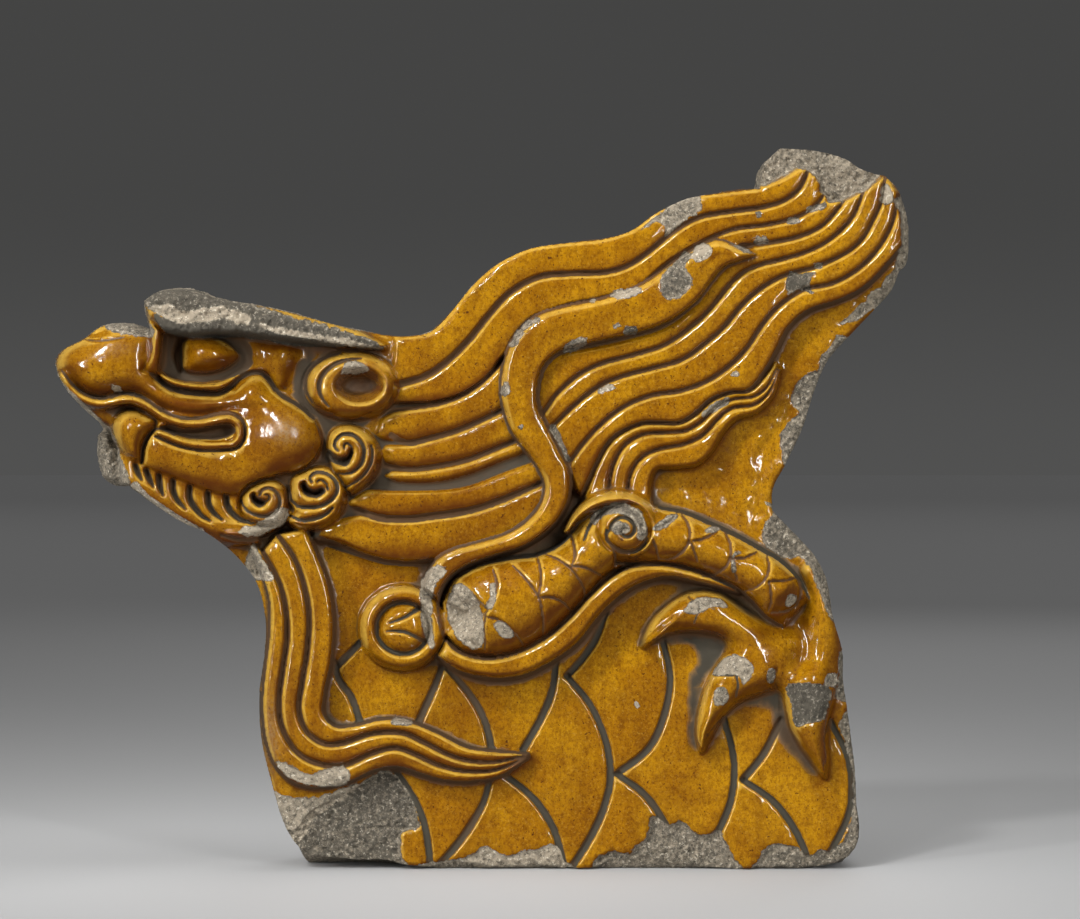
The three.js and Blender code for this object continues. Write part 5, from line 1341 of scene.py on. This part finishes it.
@dataclass
class TileMesh:
    """Turns the height field into one closed mesh with its wall, its flat foot and its back."""

    back_y: float
    name: str = "glazed_dragon_tile"
    wall_rows: int = 20
    back_spacing: float = 5.0
    foot_height: float = 16.0
    foot_start: float = 8.0
    flare: float = 3.0

    def place(self, u: Array, v: Array, rise: Array) -> Array:
        """Points in metres above plan points, drawn in by rise / DRAFT_RUN towards the middle."""
        draft = 1 - np.clip(rise, 0, None) / DRAFT_RUN
        x = MIDDLE[0] + (u - MIDDLE[0]) * draft
        z = MIDDLE[1] + (v - MIDDLE[1]) * draft
        return np.column_stack([x, self.back_y - PANEL_DEPTH - rise, z]) * MM

    def build(self, relief: Relief, outline: Array) -> bpy.types.Object:
        """Meshes the front inside the silhouette, the wall and the back, and joins them.

        Args:
            relief: The finished height field.
            outline: The silhouette.

        Returns:
            The object, closed and reduced to its budget of triangles.
        """
        keep = relief.rim > -0.5 * relief.pitch
        cell = keep[:-1, :-1] & keep[1:, :-1] & keep[:-1, 1:] & keep[1:, 1:]
        used = np.zeros_like(keep)
        for rows in (slice(None, -1), slice(1, None)):
            for cols in (slice(None, -1), slice(1, None)):
                used[rows, cols] |= cell
        index = np.cumsum(used).reshape(used.shape) - 1
        count = int(used.sum())
        corner = [index[:-1, :-1][cell], index[:-1, 1:][cell], index[1:, 1:][cell], index[1:, :-1][cell]]
        rise = relief.rise[used]
        level = np.abs(rise[corner[0]] - rise[corner[2]]) < np.abs(rise[corner[1]] - rise[corner[3]])
        a, b, c, d = corner
        front = np.vstack([
            np.column_stack([a, b, c])[level], np.column_stack([a, c, d])[level],
            np.column_stack([a, b, d])[~level], np.column_stack([b, c, d])[~level],
        ])
        start = np.concatenate(corner)
        stop = np.concatenate(corner[1:] + corner[:1])
        open_edge = ~np.isin(start * count + stop, stop * count + start)
        start, stop = start[open_edge], stop[open_edge]
        rim = np.unique(start)
        grid_u, grid_v = np.meshgrid(relief.u, relief.v)
        u, v = grid_u[used], grid_v[used]
        foot = relief.reach(np.vstack([outline, outline[:1]]), 12.0)
        feet = np.zeros((*keep.shape, 2))
        feet[foot.window] = foot.foot
        feet = feet[used]
        u[rim], v[rim] = feet[rim, 0], feet[rim, 1]
        slope_v, slope_u = np.gradient(relief.blurred(relief.rim, 1.5), relief.pitch)
        outward = -np.column_stack([slope_u[used], slope_v[used]])[rim]
        outward /= np.maximum(np.linalg.norm(outward, axis=1, keepdims=True), 1e-6)
        wall = self.wall_points(u[rim], v[rim], rise[rim], outward, relief)
        ring = np.full(count, -1)
        ring[rim] = np.arange(len(rim))
        rows = np.vstack([rim] + [count + k * len(rim) + np.arange(len(rim)) for k in range(self.wall_rows)])
        near, far = rows[:-1], rows[1:]
        s, t = ring[start], ring[stop]
        sides = np.vstack([
            np.column_stack([near[:, t].ravel(), near[:, s].ravel(), far[:, s].ravel()]),
            np.column_stack([near[:, t].ravel(), far[:, s].ravel(), far[:, t].ravel()]),
        ])
        last = wall[-1]
        inner, back_faces = self.back_sheet(last[:, :2], np.column_stack([s, t]), relief)
        base = count + self.wall_rows * len(rim)
        lookup = np.concatenate([rows[-1], base + np.arange(len(inner))])
        plan = np.vstack([np.column_stack([u, v, rise])] + list(wall)
                         + [np.column_stack([inner, self.back_rise(inner)])])
        points = self.place(plan[:, 0], plan[:, 1], plan[:, 2])
        faces = np.vstack([front, sides, lookup[back_faces]])
        measures = self.measures(relief, used, rim, wall, inner)
        return self.finished(points, faces, measures)

    def wall_points(self, u: Array, v: Array, rise: Array, outward: Array, relief: Relief) -> Array:
        """Carries each rim point back along the wall.

        Each row is deeper by an even share of the way to the back. Rows stray a little for the rough
        clay, spread by the flare along the breast, and drop to the floor along the underside.

        Args:
            u: Across of the rim points.
            v: Up of the rim points.
            rise: Rise of the rim points.
            outward: Unit direction out of the silhouette at each.
            relief: The height field, for its noise.

        Returns:
            Rows of plan points with their rise, from the front to the back edge.
        """
        share = (np.arange(1, self.wall_rows + 1) / self.wall_rows)[:, None]
        depth = rise + (-PANEL_DEPTH - rise) * share ** 1.15
        breast = eased(-u, 84, 100) * (1 - eased(v, 158, 176)) * eased(v, 14, 30) * (1 - eased(-u, 124, 140))
        spread = self.flare * breast * eased(-depth, 16, 56)
        rough = 0.9 * relief.sampled(relief.coarse, u - 1.7 * depth, v - depth)
        rough += 0.35 * relief.sampled(relief.middle, u - depth, v - 1.4 * depth)
        edge = eased(share, 0.0, 0.2) * (1 - eased(share, 0.9, 1.0) * 0.6)
        off = spread + rough * edge - 0.8 * eased(share, 0.93, 1.0)
        wu = u + outward[:, 0] * off
        wv = v + outward[:, 1] * off
        under = eased(-outward[:, 1], 0.1, 0.6) * (1 - eased(v, self.foot_height - 2, self.foot_height + 10))
        corner = np.maximum(eased(-u, 20, 60), eased(u, 160, 180))
        down = under * eased(-depth, 2.0 + 4.0 * corner, self.foot_start + 24.0 * corner)
        wu = wu + 0.4 * down * v * np.clip((MIDDLE[0] - u) / 60, -1, 1)
        wv = np.maximum(wv * (1 - down), 0.0)
        return np.stack([wu, wv, depth], axis=-1)

    def back_rise(self, points: Array) -> Array:
        """Rise of the back sheet: flat, with shallow scraped waves that stay inside the back plane."""
        wave = np.sin(points[:, 0] * 0.11 + 0.6 * np.sin(points[:, 1] * 0.07)) * np.sin(points[:, 1] * 0.09)
        return -PANEL_DEPTH + 0.35 * (1 + wave)

    def back_sheet(self, rim: Array, edges: Array, relief: Relief) -> tuple[Array, Array]:
        """Triangulates the back between its edge and a coarse grid of inner points.

        Args:
            rim: Plan points of the back edge.
            edges: Pairs of neighbours along it.
            relief: The height field, for its distance to the silhouette.

        Returns:
            The inner plan points, and triangles over the rim points followed by the inner ones.
        """
        skip = max(int(self.back_spacing / relief.pitch), 1)
        far = relief.rim[::skip, ::skip] > 4.5
        gu, gv = np.meshgrid(relief.u[::skip], relief.v[::skip])
        inner = np.column_stack([gu[far], gv[far]])
        points = np.vstack([rim, inner])
        result = delaunay_2d_cdt([tuple(p) for p in points], edges.tolist(), [], 1, 1e-5)
        source = np.array([min(group) for group in result[3]])
        faces = np.array([f for f in result[2]])
        faces = source[faces]
        a, b, c = (points[faces[:, i]] for i in range(3))
        turn = (b - a)[:, 0] * (c - a)[:, 1] - (b - a)[:, 1] * (c - a)[:, 0]
        return inner, np.where((turn > 0)[:, None], faces[:, ::-1], faces)

    def measures(self, relief: Relief, used: Array, rim: Array, wall: Array,
                 inner: Array) -> dict[str, Array]:
        """Values that the finish reads at each point, for the front, the wall and the back in turn.

        Args:
            relief: The finished height field.
            used: Which of its points are in the mesh.
            rim: Indices of the rim points.
            wall: Rows of wall points.
            inner: Plan points inside the back.

        Returns:
            Arrays by name, one value a point.
        """
        smooth = relief.blurred(relief.rise, 0.85)
        broad = relief.blurred(relief.rise, 4.0)
        slope_v, slope_u = np.gradient(relief.blurred(relief.rise, 0.9), relief.pitch)
        # lit: how far each point faces the key light at the upper left
        lit = 0.5 * slope_u - 0.8 * slope_v
        # hollow: how far the surface lies below its broad blur; half of it is laid into grime below, so broad
        # hollows come out darker
        hollow = eased(broad - relief.rise, 2.0, 5.0)
        # edge: glaze thinned on convex edges, made stronger on the side facing the key light as a painted
        # highlight
        edge = np.clip((relief.rise - smooth) / 0.30, 0, 1) * (0.25 + 0.75 * eased(lit, -0.15, 0.35))
        front = {
            "bare": relief.bare, "pale": relief.pale, "worn": np.clip(relief.worn, 0, 1),
            "grime": np.clip(np.maximum(relief.grime, 0.5 * hollow), 0, 1),
            # painted shade: umber on the faces turned from the key light, added to the stains and painted
            # shade of the stain field
            "edge": edge, "painted_shade_and_stain": np.clip(0.85 * eased(-lit, 0.14, 0.9) + relief.stain_and_painted_shade, 0, 1),
        }
        run = 9.0 + 3.0 * relief.coarse[used][rim] + 2.0 * relief.middle[used][rim]
        deep = -(wall[:, :, 2] - relief.rise[used][rim])
        bare = np.maximum(deep - run, relief.bare[used][rim] + 0.4 * deep)
        tone = relief.sampled(relief.coarse, wall[:, :, 0] + 1.5 * deep, wall[:, :, 1] + deep)
        sides = {"bare": bare, "pale": 0.38 + 0.25 * tone, "worn": 0 * bare, "grime": 0 * bare,
                 "edge": 0 * bare, "painted_shade_and_stain": 0.3 + 0 * bare}
        cloud = relief.blurred(relief.coarse, 6.0)
        back = {"bare": np.full(len(inner), 9.0),
                "pale": 0.46 + 0.9 * relief.sampled(cloud, inner[:, 0], inner[:, 1])}
        plain = np.zeros(len(inner))
        return {name: np.concatenate([values[used], np.ravel(sides[name]), back.get(name, plain)])
                for name, values in front.items()}

    def finished(self, points: Array, faces: Array, measures: dict[str, Array]) -> bpy.types.Object:
        """Welds and thins the mesh and shades it smooth.

        Args:
            points: Vertices in metres.
            faces: Triangles.
            measures: Values for the finish, one a vertex.

        Returns:
            The object in the scene.
        """
        mesh = bpy.data.meshes.new(self.name)
        mesh.vertices.add(len(points))
        mesh.vertices.foreach_set("co", points.astype(np.float32).ravel())
        mesh.loops.add(faces.size)
        mesh.loops.foreach_set("vertex_index", faces.astype(np.int32).ravel())
        mesh.polygons.add(len(faces))
        mesh.polygons.foreach_set("loop_start", np.arange(0, faces.size, 3, dtype=np.int32))
        mesh.update(calc_edges=True)
        for name, values in measures.items():
            layer = mesh.attributes.new(name, "FLOAT", "POINT")
            layer.data.foreach_set("value", values.astype(np.float32))
        weld = bmesh.new()
        weld.from_mesh(mesh)
        bmesh.ops.remove_doubles(weld, verts=weld.verts, dist=0.03 * MM)
        bmesh.ops.dissolve_degenerate(weld, edges=weld.edges, dist=0.01 * MM)
        weld.to_mesh(mesh)
        weld.free()
        tile = bpy.data.objects.new(self.name, mesh)
        bpy.context.scene.collection.objects.link(tile)
        thin = tile.modifiers.new("thin", "DECIMATE")
        thin.ratio = min(1.0, TRIANGLES / len(mesh.polygons))
        thinned = bpy.data.meshes.new_from_object(tile.evaluated_get(bpy.context.evaluated_depsgraph_get()))
        tile.modifiers.clear()
        tile.data = thinned
        thinned.name = self.name
        bpy.data.meshes.remove(mesh)
        thinned.shade_smooth()
        thinned.set_sharp_from_angle(angle=math.radians(75))
        return tile


# ---------- shader expressions


@dataclass(frozen=True)
class Value:
    """A number socket that takes part in expressions; each operator adds its Math node."""

    graph: "Graph"
    socket: bpy.types.NodeSocket

    def math(self, operation: str, first: "Number", second: "Number" = 0.0) -> "Value":
        """The result of one Math node."""
        node = self.graph.make("ShaderNodeMath", {"operation": operation}, {0: first, 1: second})
        return Value(self.graph, node.outputs[0])

    def __add__(self, other: "Number") -> "Value":
        """The sum."""
        return self.math("ADD", self, other)

    __radd__ = __add__

    def __sub__(self, other: "Number") -> "Value":
        """The difference."""
        return self.math("SUBTRACT", self, other)

    def __rsub__(self, other: "Number") -> "Value":
        """The difference, the other way round."""
        return self.math("SUBTRACT", other, self)

    def __mul__(self, other: "Number") -> "Value":
        """The product."""
        return self.math("MULTIPLY", self, other)

    __rmul__ = __mul__

    def __pow__(self, power: float) -> "Value":
        """The power."""
        return self.math("POWER", self, power)

    def most(self, other: "Number") -> "Value":
        """The greater of the two."""
        return self.math("MAXIMUM", self, other)

    def step(self, low: float, high: float) -> "Value":
        """A smooth step from 0 at low to 1 at high."""
        settings = {"interpolation_type": "SMOOTHSTEP", "clamp": True}
        node = self.graph.make("ShaderNodeMapRange", settings, {0: self, 1: low, 2: high, 3: 0.0, 4: 1.0})
        return Value(self.graph, node.outputs[0])


Number = Union[Value, float]


class Graph:
    """One material's or world's node tree."""

    def __init__(self, owner: Union[bpy.types.Material, bpy.types.World]) -> None:
        """Empties the owner's node tree.

        Args:
            owner: The material or world.
        """
        owner.use_nodes = True
        self.tree = owner.node_tree
        self.tree.nodes.clear()

    def make(self, kind: str, settings: dict | None = None, inputs: dict | None = None) -> bpy.types.Node:
        """Adds a node.

        Args:
            kind: The node's type.
            settings: Its own properties, which are set first.
            inputs: Values or links by socket name or index.

        Returns:
            The node.
        """
        node = self.tree.nodes.new(kind)
        for name, value in (settings or {}).items():
            setattr(node, name, value)
        for key, value in (inputs or {}).items():
            socket = getattr(value, "socket", value)
            if isinstance(socket, bpy.types.NodeSocket):
                self.tree.links.new(socket, node.inputs[key])
            else:
                node.inputs[key].default_value = socket
        return node

    def place(self) -> bpy.types.NodeSocket:
        """Object coordinates."""
        return self.make("ShaderNodeTexCoord").outputs["Object"]

    def measure(self, name: str) -> Value:
        """One of the mesh's own attributes."""
        return Value(self, self.make("ShaderNodeAttribute", {"attribute_name": name}).outputs["Fac"])

    def noise(self, size: float, detail: float = 3.0, roughness: float = 0.55,
              stretch: tuple = (1, 1, 1)) -> Value:
        """Noise between about 0.2 and 0.8.

        Args:
            size: Size of its largest lumps in millimetres.
            detail: Number of finer octaves.
            roughness: Strength of each octave against the one before.
            stretch: Factors on the three axes.

        Returns:
            The noise.
        """
        turned = self.make("ShaderNodeMapping", {}, {"Vector": self.place(), "Scale": stretch,
                                                     "Location": (size * 0.037, size * 0.011, 0.0)})
        node = self.make("ShaderNodeTexNoise", {}, {"Vector": turned.outputs[0], "Scale": 1 / (size * MM),
                                                    "Detail": detail, "Roughness": roughness})
        return Value(self, node.outputs["Fac"])

    def blend(self, share: Number, first: object, second: object, mode: str = "MIX") -> bpy.types.NodeSocket:
        """Mixes two colours; each is a colour or a colour socket.

        Args:
            share: Share of the second.
            first: The first colour.
            second: The second colour.
            mode: How they are mixed.

        Returns:
            The mixed colour.
        """
        inputs = {0: share, 6: self.opaque(first), 7: self.opaque(second)}
        return self.make("ShaderNodeMix", {"data_type": "RGBA", "blend_type": mode}, inputs).outputs[2]

    @staticmethod
    def opaque(colour: object) -> object:
        """A colour with its alpha, or the socket itself."""
        return (*colour, 1.0) if isinstance(colour, tuple) else colour


# ---------- finishes


@dataclass(frozen=True)
class Glaze:
    """Amber lead glaze over a dark body: thin and yellow on edges, thick and brown where it pools, with
    painted shade in umber on faces turned from the light and a painted highlight on the lit side of edges.
    """

    amber: Colour = (0.272, 0.115, 0.0018)
    honey: Colour = (0.378, 0.181, 0.0034)
    # umber: the glaze's dark tone for streaks and mottling, and also the painted shade on faces turned from
    # the light
    umber_and_shade: Colour = (0.092, 0.024, 0.0014)
    # silt: the grime colour where painted shade and stains lie
    silt_and_shade: Colour = (0.085, 0.038, 0.010)
    # thin: glaze thinned on edges, and also the painted highlight on their lit side
    thin: Colour = (0.60, 0.375, 0.060)
    speck: Colour = (0.055, 0.014, 0.004)
    grime: Colour = (0.035, 0.029, 0.017)
    dry: Colour = (0.215, 0.15, 0.075)
    gloss: float = 0.09


@dataclass(frozen=True)
class BareClay:
    """The fired clay under the glaze, grey where it is old and cream where it is freshly broken."""

    shade: Colour = (0.064, 0.055, 0.040)
    cream: Colour = (0.37, 0.31, 0.225)
    crumb: Colour = (0.64, 0.57, 0.45)
    pore: Colour = (0.022, 0.018, 0.013)
    dullness: float = 0.9


@dataclass(frozen=True)
class TileFinish:
    """The tile's one material: glaze and clay told apart by how bare each point is."""

    glaze: Glaze = Glaze()
    clay: BareClay = BareClay()

    def glaze_colour(self, g: Graph, grime: Value) -> bpy.types.NodeSocket:
        """Glaze colour: broad drifts, streaks, specks, brown pools with painted shade on faces turned from
        the light, pale edges with a painted highlight on their lit side, and grime.

        Args:
            g: The node tree.
            grime: Share of grime.

        Returns:
            The colour.
        """
        s = self.glaze
        drift = g.noise(30.0, 3.0).step(0.38, 0.64)
        colour = g.blend(drift * 0.85, s.amber, s.honey)
        runs = g.noise(16.0, 4.0, 0.6, (1, 1, 0.3)).step(0.50, 0.70)
        colour = g.blend(runs * 0.42, colour, s.umber_and_shade)
        mottle = g.noise(4.5, 4.0, 0.7).step(0.42, 0.70)
        colour = g.blend(mottle * 0.44, colour, s.umber_and_shade)
        grain = g.noise(1.5, 3.0, 0.85, (1, 1, 0.75)).step(0.44, 0.64)
        colour = g.blend(grain * 0.52, colour, s.umber_and_shade)
        flecks = g.noise(1.3, 2.0, 0.7).step(0.56, 0.68)
        colour = g.blend(flecks * 0.16, colour, s.thin)
        # painted shade: umber where the surface turns from the light, together with the stains
        colour = g.blend(g.measure("painted_shade_and_stain") * (0.6 + 0.65 * g.noise(6.0)), colour, s.umber_and_shade)
        # thin glaze on edges, with a painted highlight on their lit side
        colour = g.blend(g.measure("edge").step(0.42, 1.0) * (0.05 + 0.85 * g.noise(4.0)), colour, s.thin)
        specks = g.noise(1.5, 1.0, 0.5).step(0.70, 0.74).most(g.noise(2.6, 2.0, 0.6).step(0.70, 0.73))
        colour = g.blend(specks * 0.8, colour, s.speck)
        dry = g.measure("worn") * g.noise(1.3, 3.0, 0.7).step(0.36, 0.56)
        colour = g.blend(dry * 0.75, colour, s.dry)
        # grime turns to the dark silt colour where painted shade and stains lie
        return g.blend(grime, colour, g.blend(g.measure("painted_shade_and_stain"), s.grime, s.silt_and_shade))

    def clay_colour(self, g: Graph) -> bpy.types.NodeSocket:
        """Clay colour: from grey to cream with the pale measure and grain, with dark pores.

        Args:
            g: The node tree.

        Returns:
            The colour.
        """
        s = self.clay
        light = (g.measure("pale") * 1.05 + (g.noise(2.4, 4.0, 0.8) - 0.5) * 2.4).step(-0.05, 0.95)
        colour = g.blend(light * 0.85, s.shade, s.cream)
        crumbs = g.noise(1.7, 3.0, 0.7).step(0.575, 0.64)
        colour = g.blend(crumbs * (0.3 + 0.6 * g.measure("pale")), colour, s.crumb)
        pores = g.noise(1.9, 3.0, 0.75).step(0.56, 0.65)
        return g.blend(pores * 0.7, colour, s.pore)

    def material(self) -> bpy.types.Material:
        """Builds the material.

        Returns:
            The material.
        """
        material = bpy.data.materials.new("amber_glaze_and_clay")
        g = Graph(material)
        bare = (g.measure("bare") + (g.noise(1.8, 3.0, 0.6) - 0.5) * 1.8).step(-0.2, 0.3)
        grime = g.measure("grime").step(0.18, 0.62) * (0.55 + 0.9 * g.noise(3.0, 3.0)).step(0.25, 0.85)
        colour = g.blend(bare, self.glaze_colour(g, grime), self.clay_colour(g))
        dull = grime.most(g.measure("worn") * 0.45)
        rough = self.glaze.gloss + 0.7 * dull + 0.06 * g.noise(9.0)
        rough = rough + bare * (self.clay.dullness - rough)
        ripple = g.noise(9.0, 2.0) * 0.62 + g.noise(3.0, 2.0) * 0.13
        grain = g.noise(1.6, 5.0, 0.8) * 1.7 + g.noise(5.0, 3.0) * 1.0
        height = ripple + bare * (grain - ripple)
        bump = g.make("ShaderNodeBump", {}, {"Strength": 0.6, "Distance": 1.0 * MM, "Height": height})
        shader = g.make("ShaderNodeBsdfPrincipled", {}, {
            "Base Color": colour, "Roughness": rough, "IOR": 1.5, "Normal": bump.outputs[0]})
        g.make("ShaderNodeOutputMaterial", {}, {"Surface": shader.outputs[0]})
        return material


# ---------- studio


class Lamp(Enum):
    """The soft boxes of the studio."""

    KEY = "key"
    FILL = "fill"
    TOP = "top"
    REAR = "rear"
    GLINT = "glint"
    SPARK = "spark"
    STREAK = "streak"
    GLEAM = "gleam"


@dataclass(frozen=True)
class SoftBox:
    """One soft box: where it stands, its sides in metres, its power and whether it shows in gloss."""

    place: tuple[float, float, float]
    sides: Point
    watts: float
    mirrored: bool = False


@dataclass
class Studio:
    """The pale floor, the grey surroundings, the soft boxes and the camera."""

    distance: float = 1.6
    frame_width: float = 0.54
    floor_size: float = 40.0
    boxes: dict[Lamp, SoftBox] = field(default_factory=lambda: {
        Lamp.KEY: SoftBox((-1.0, -1.6, 1.8), (1.2, 1.2), 13.0),
        Lamp.FILL: SoftBox((1.5, -1.9, 0.9), (1.0, 1.2), 6.0),
        Lamp.TOP: SoftBox((0.1, -0.3, 2.0), (1.6, 1.0), 21.0),
        Lamp.REAR: SoftBox((0.5, 2.2, 1.4), (1.4, 1.0), 30.0),
        Lamp.GLINT: SoftBox((-0.85, -1.5, 1.6), (0.2, 0.26), 25.0, True),
        Lamp.SPARK: SoftBox((0.95, -1.7, 0.75), (0.08, 1.1), 18.0, True),
        Lamp.STREAK: SoftBox((-1.5, -1.5, 0.7), (0.12, 1.0), 26.0, True),
        Lamp.GLEAM: SoftBox((-0.6, -1.8, 1.1), (0.08, 0.11), 5.0, True),
    })

    def camera(self, front_y: float) -> None:
        """A level camera in front of the tile's middle.

        Args:
            front_y: The panel's front in metres.
        """
        data = bpy.data.cameras.new("camera")
        data.sensor_width = 36.0
        data.lens = data.sensor_width * self.distance / self.frame_width
        data.clip_end = 200.0
        camera = bpy.data.objects.new("camera", data)
        camera.location = (MIDDLE[0] * MM, front_y - self.distance, MIDDLE[1] * MM)
        camera.rotation_euler = (math.pi / 2, 0.0, 0.0)
        bpy.context.scene.collection.objects.link(camera)
        bpy.context.scene.camera = camera

    def lamps(self) -> None:
        """The soft boxes, each turned towards the middle of the tile."""
        target = np.array([0.0, 0.0, 0.17])
        for lamp, box in self.boxes.items():
            light = bpy.data.lights.new(lamp.value, "AREA")
            light.shape = "RECTANGLE"
            light.size, light.size_y = box.sides
            light.energy = box.watts
            stand = bpy.data.objects.new(lamp.value, light)
            stand.location = box.place
            stand.rotation_euler = Vector(np.array(box.place) - target).to_track_quat("Z", "Y").to_euler()
            stand.visible_glossy = box.mirrored
            bpy.context.scene.collection.objects.link(stand)

    def floor(self) -> None:
        """A wide floor whose colour is painted light: a pale pool of light about the tile that falls off to
        the grey of the surroundings, with a painted glow further out.
        """
        half = self.floor_size
        mesh = bpy.data.meshes.new("floor")
        mesh.from_pydata([(-half, -half, 0), (half, -half, 0), (half, half, 0), (-half, half, 0)], [],
                         [(0, 1, 2, 3)])
        floor = bpy.data.objects.new("floor", mesh)
        bpy.context.scene.collection.objects.link(floor)
        material = bpy.data.materials.new("floor")
        g = Graph(material)
        length = g.make("ShaderNodeVectorMath", {"operation": "LENGTH"}, {0: g.place()})
        away = Value(g, length.outputs["Value"])
        # painted pool of light: the floor's colour is pale near the tile and dark far from it
        near = ((away * 2.0) ** 1.5 + 1.0) ** -1.0
        colour = g.blend(near, (0.03, 0.03, 0.03), (0.47, 0.47, 0.47))
        middle = away.step(1.0, 3.5) * (1 - away.step(5.0, 16.0))
        # painted glow: the floor emits grey away from the tile, and a little more over a middle ring
        glow = g.blend(near, (0.078, 0.078, 0.078), (0.0, 0.0, 0.0))
        glow = g.blend(middle * 0.022, glow, (1.0, 1.0, 1.0), "ADD")
        shader = g.make("ShaderNodeBsdfPrincipled", {}, {
            "Base Color": colour, "Roughness": 0.7, "Emission Color": glow, "Emission Strength": 1.0})
        g.make("ShaderNodeOutputMaterial", {}, {"Surface": shader.outputs[0]})
        mesh.materials.append(material)
        floor.visible_glossy = False

    def surroundings(self) -> None:
        """Grey all round, a little lighter at the horizon than overhead."""
        world = bpy.data.worlds.new("surroundings")
        bpy.context.scene.world = world
        g = Graph(world)
        direction = g.make("ShaderNodeTexCoord").outputs["Generated"]
        split = g.make("ShaderNodeSeparateXYZ", {}, {0: direction})
        height = Value(g, split.outputs["Z"])
        colour = g.blend(height.step(-0.01, 0.085), (0.083, 0.083, 0.082), (0.058, 0.058, 0.057))
        back = g.make("ShaderNodeBackground", {}, {"Color": colour, "Strength": 1.0})
        g.make("ShaderNodeOutputWorld", {}, {"Surface": back.outputs[0]})


# ---------- making


def carved_relief(panel: Panel) -> Relief:
    """Carves the whole front, sub-assembly by sub-assembly.

    Args:
        panel: The panel, for its silhouette.

    Returns:
        The finished height field.
    """
    outline = panel.outline()
    low, high = outline.min(0) - 3, outline.max(0) + 3
    relief = Relief((low[0], low[1]), (high[0], high[1]), PITCH)
    for part in (panel, Mane(), Sash(), Shell(), Foreleg(), Beard(), Head()):
        part.carve(relief)
        LOG.info("carved %s, rise %.1f to %.1f mm", type(part).__name__, relief.rise.min(), relief.rise.max())
    relief.rise = relief.blurred(relief.rise, 0.45)
    panel.round_rim(relief, outline)
    Breaks().carve(relief)
    return relief


def main() -> None:
    """Builds the tile and the studio around it."""
    logging.basicConfig(level=logging.INFO, format="%(name)s: %(message)s", force=True)
    high = np.array(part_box(NODE)[1])
    bpy.context.scene.view_settings.view_transform = "Standard"
    panel = Panel()
    relief = carved_relief(panel)
    tile = TileMesh(back_y=high[1] / MM).build(relief, panel.outline())
    tile.data.materials.append(TileFinish().material())
    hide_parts(NODE)
    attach(tile, BODY)
    LOG.info("%s has %d triangles", tile.name, len(tile.data.polygons))
    studio = Studio()
    studio.camera(high[1] - PANEL_DEPTH * MM)
    studio.lamps()
    studio.floor()
    studio.surroundings()


if __name__ == "__main__":
    main()
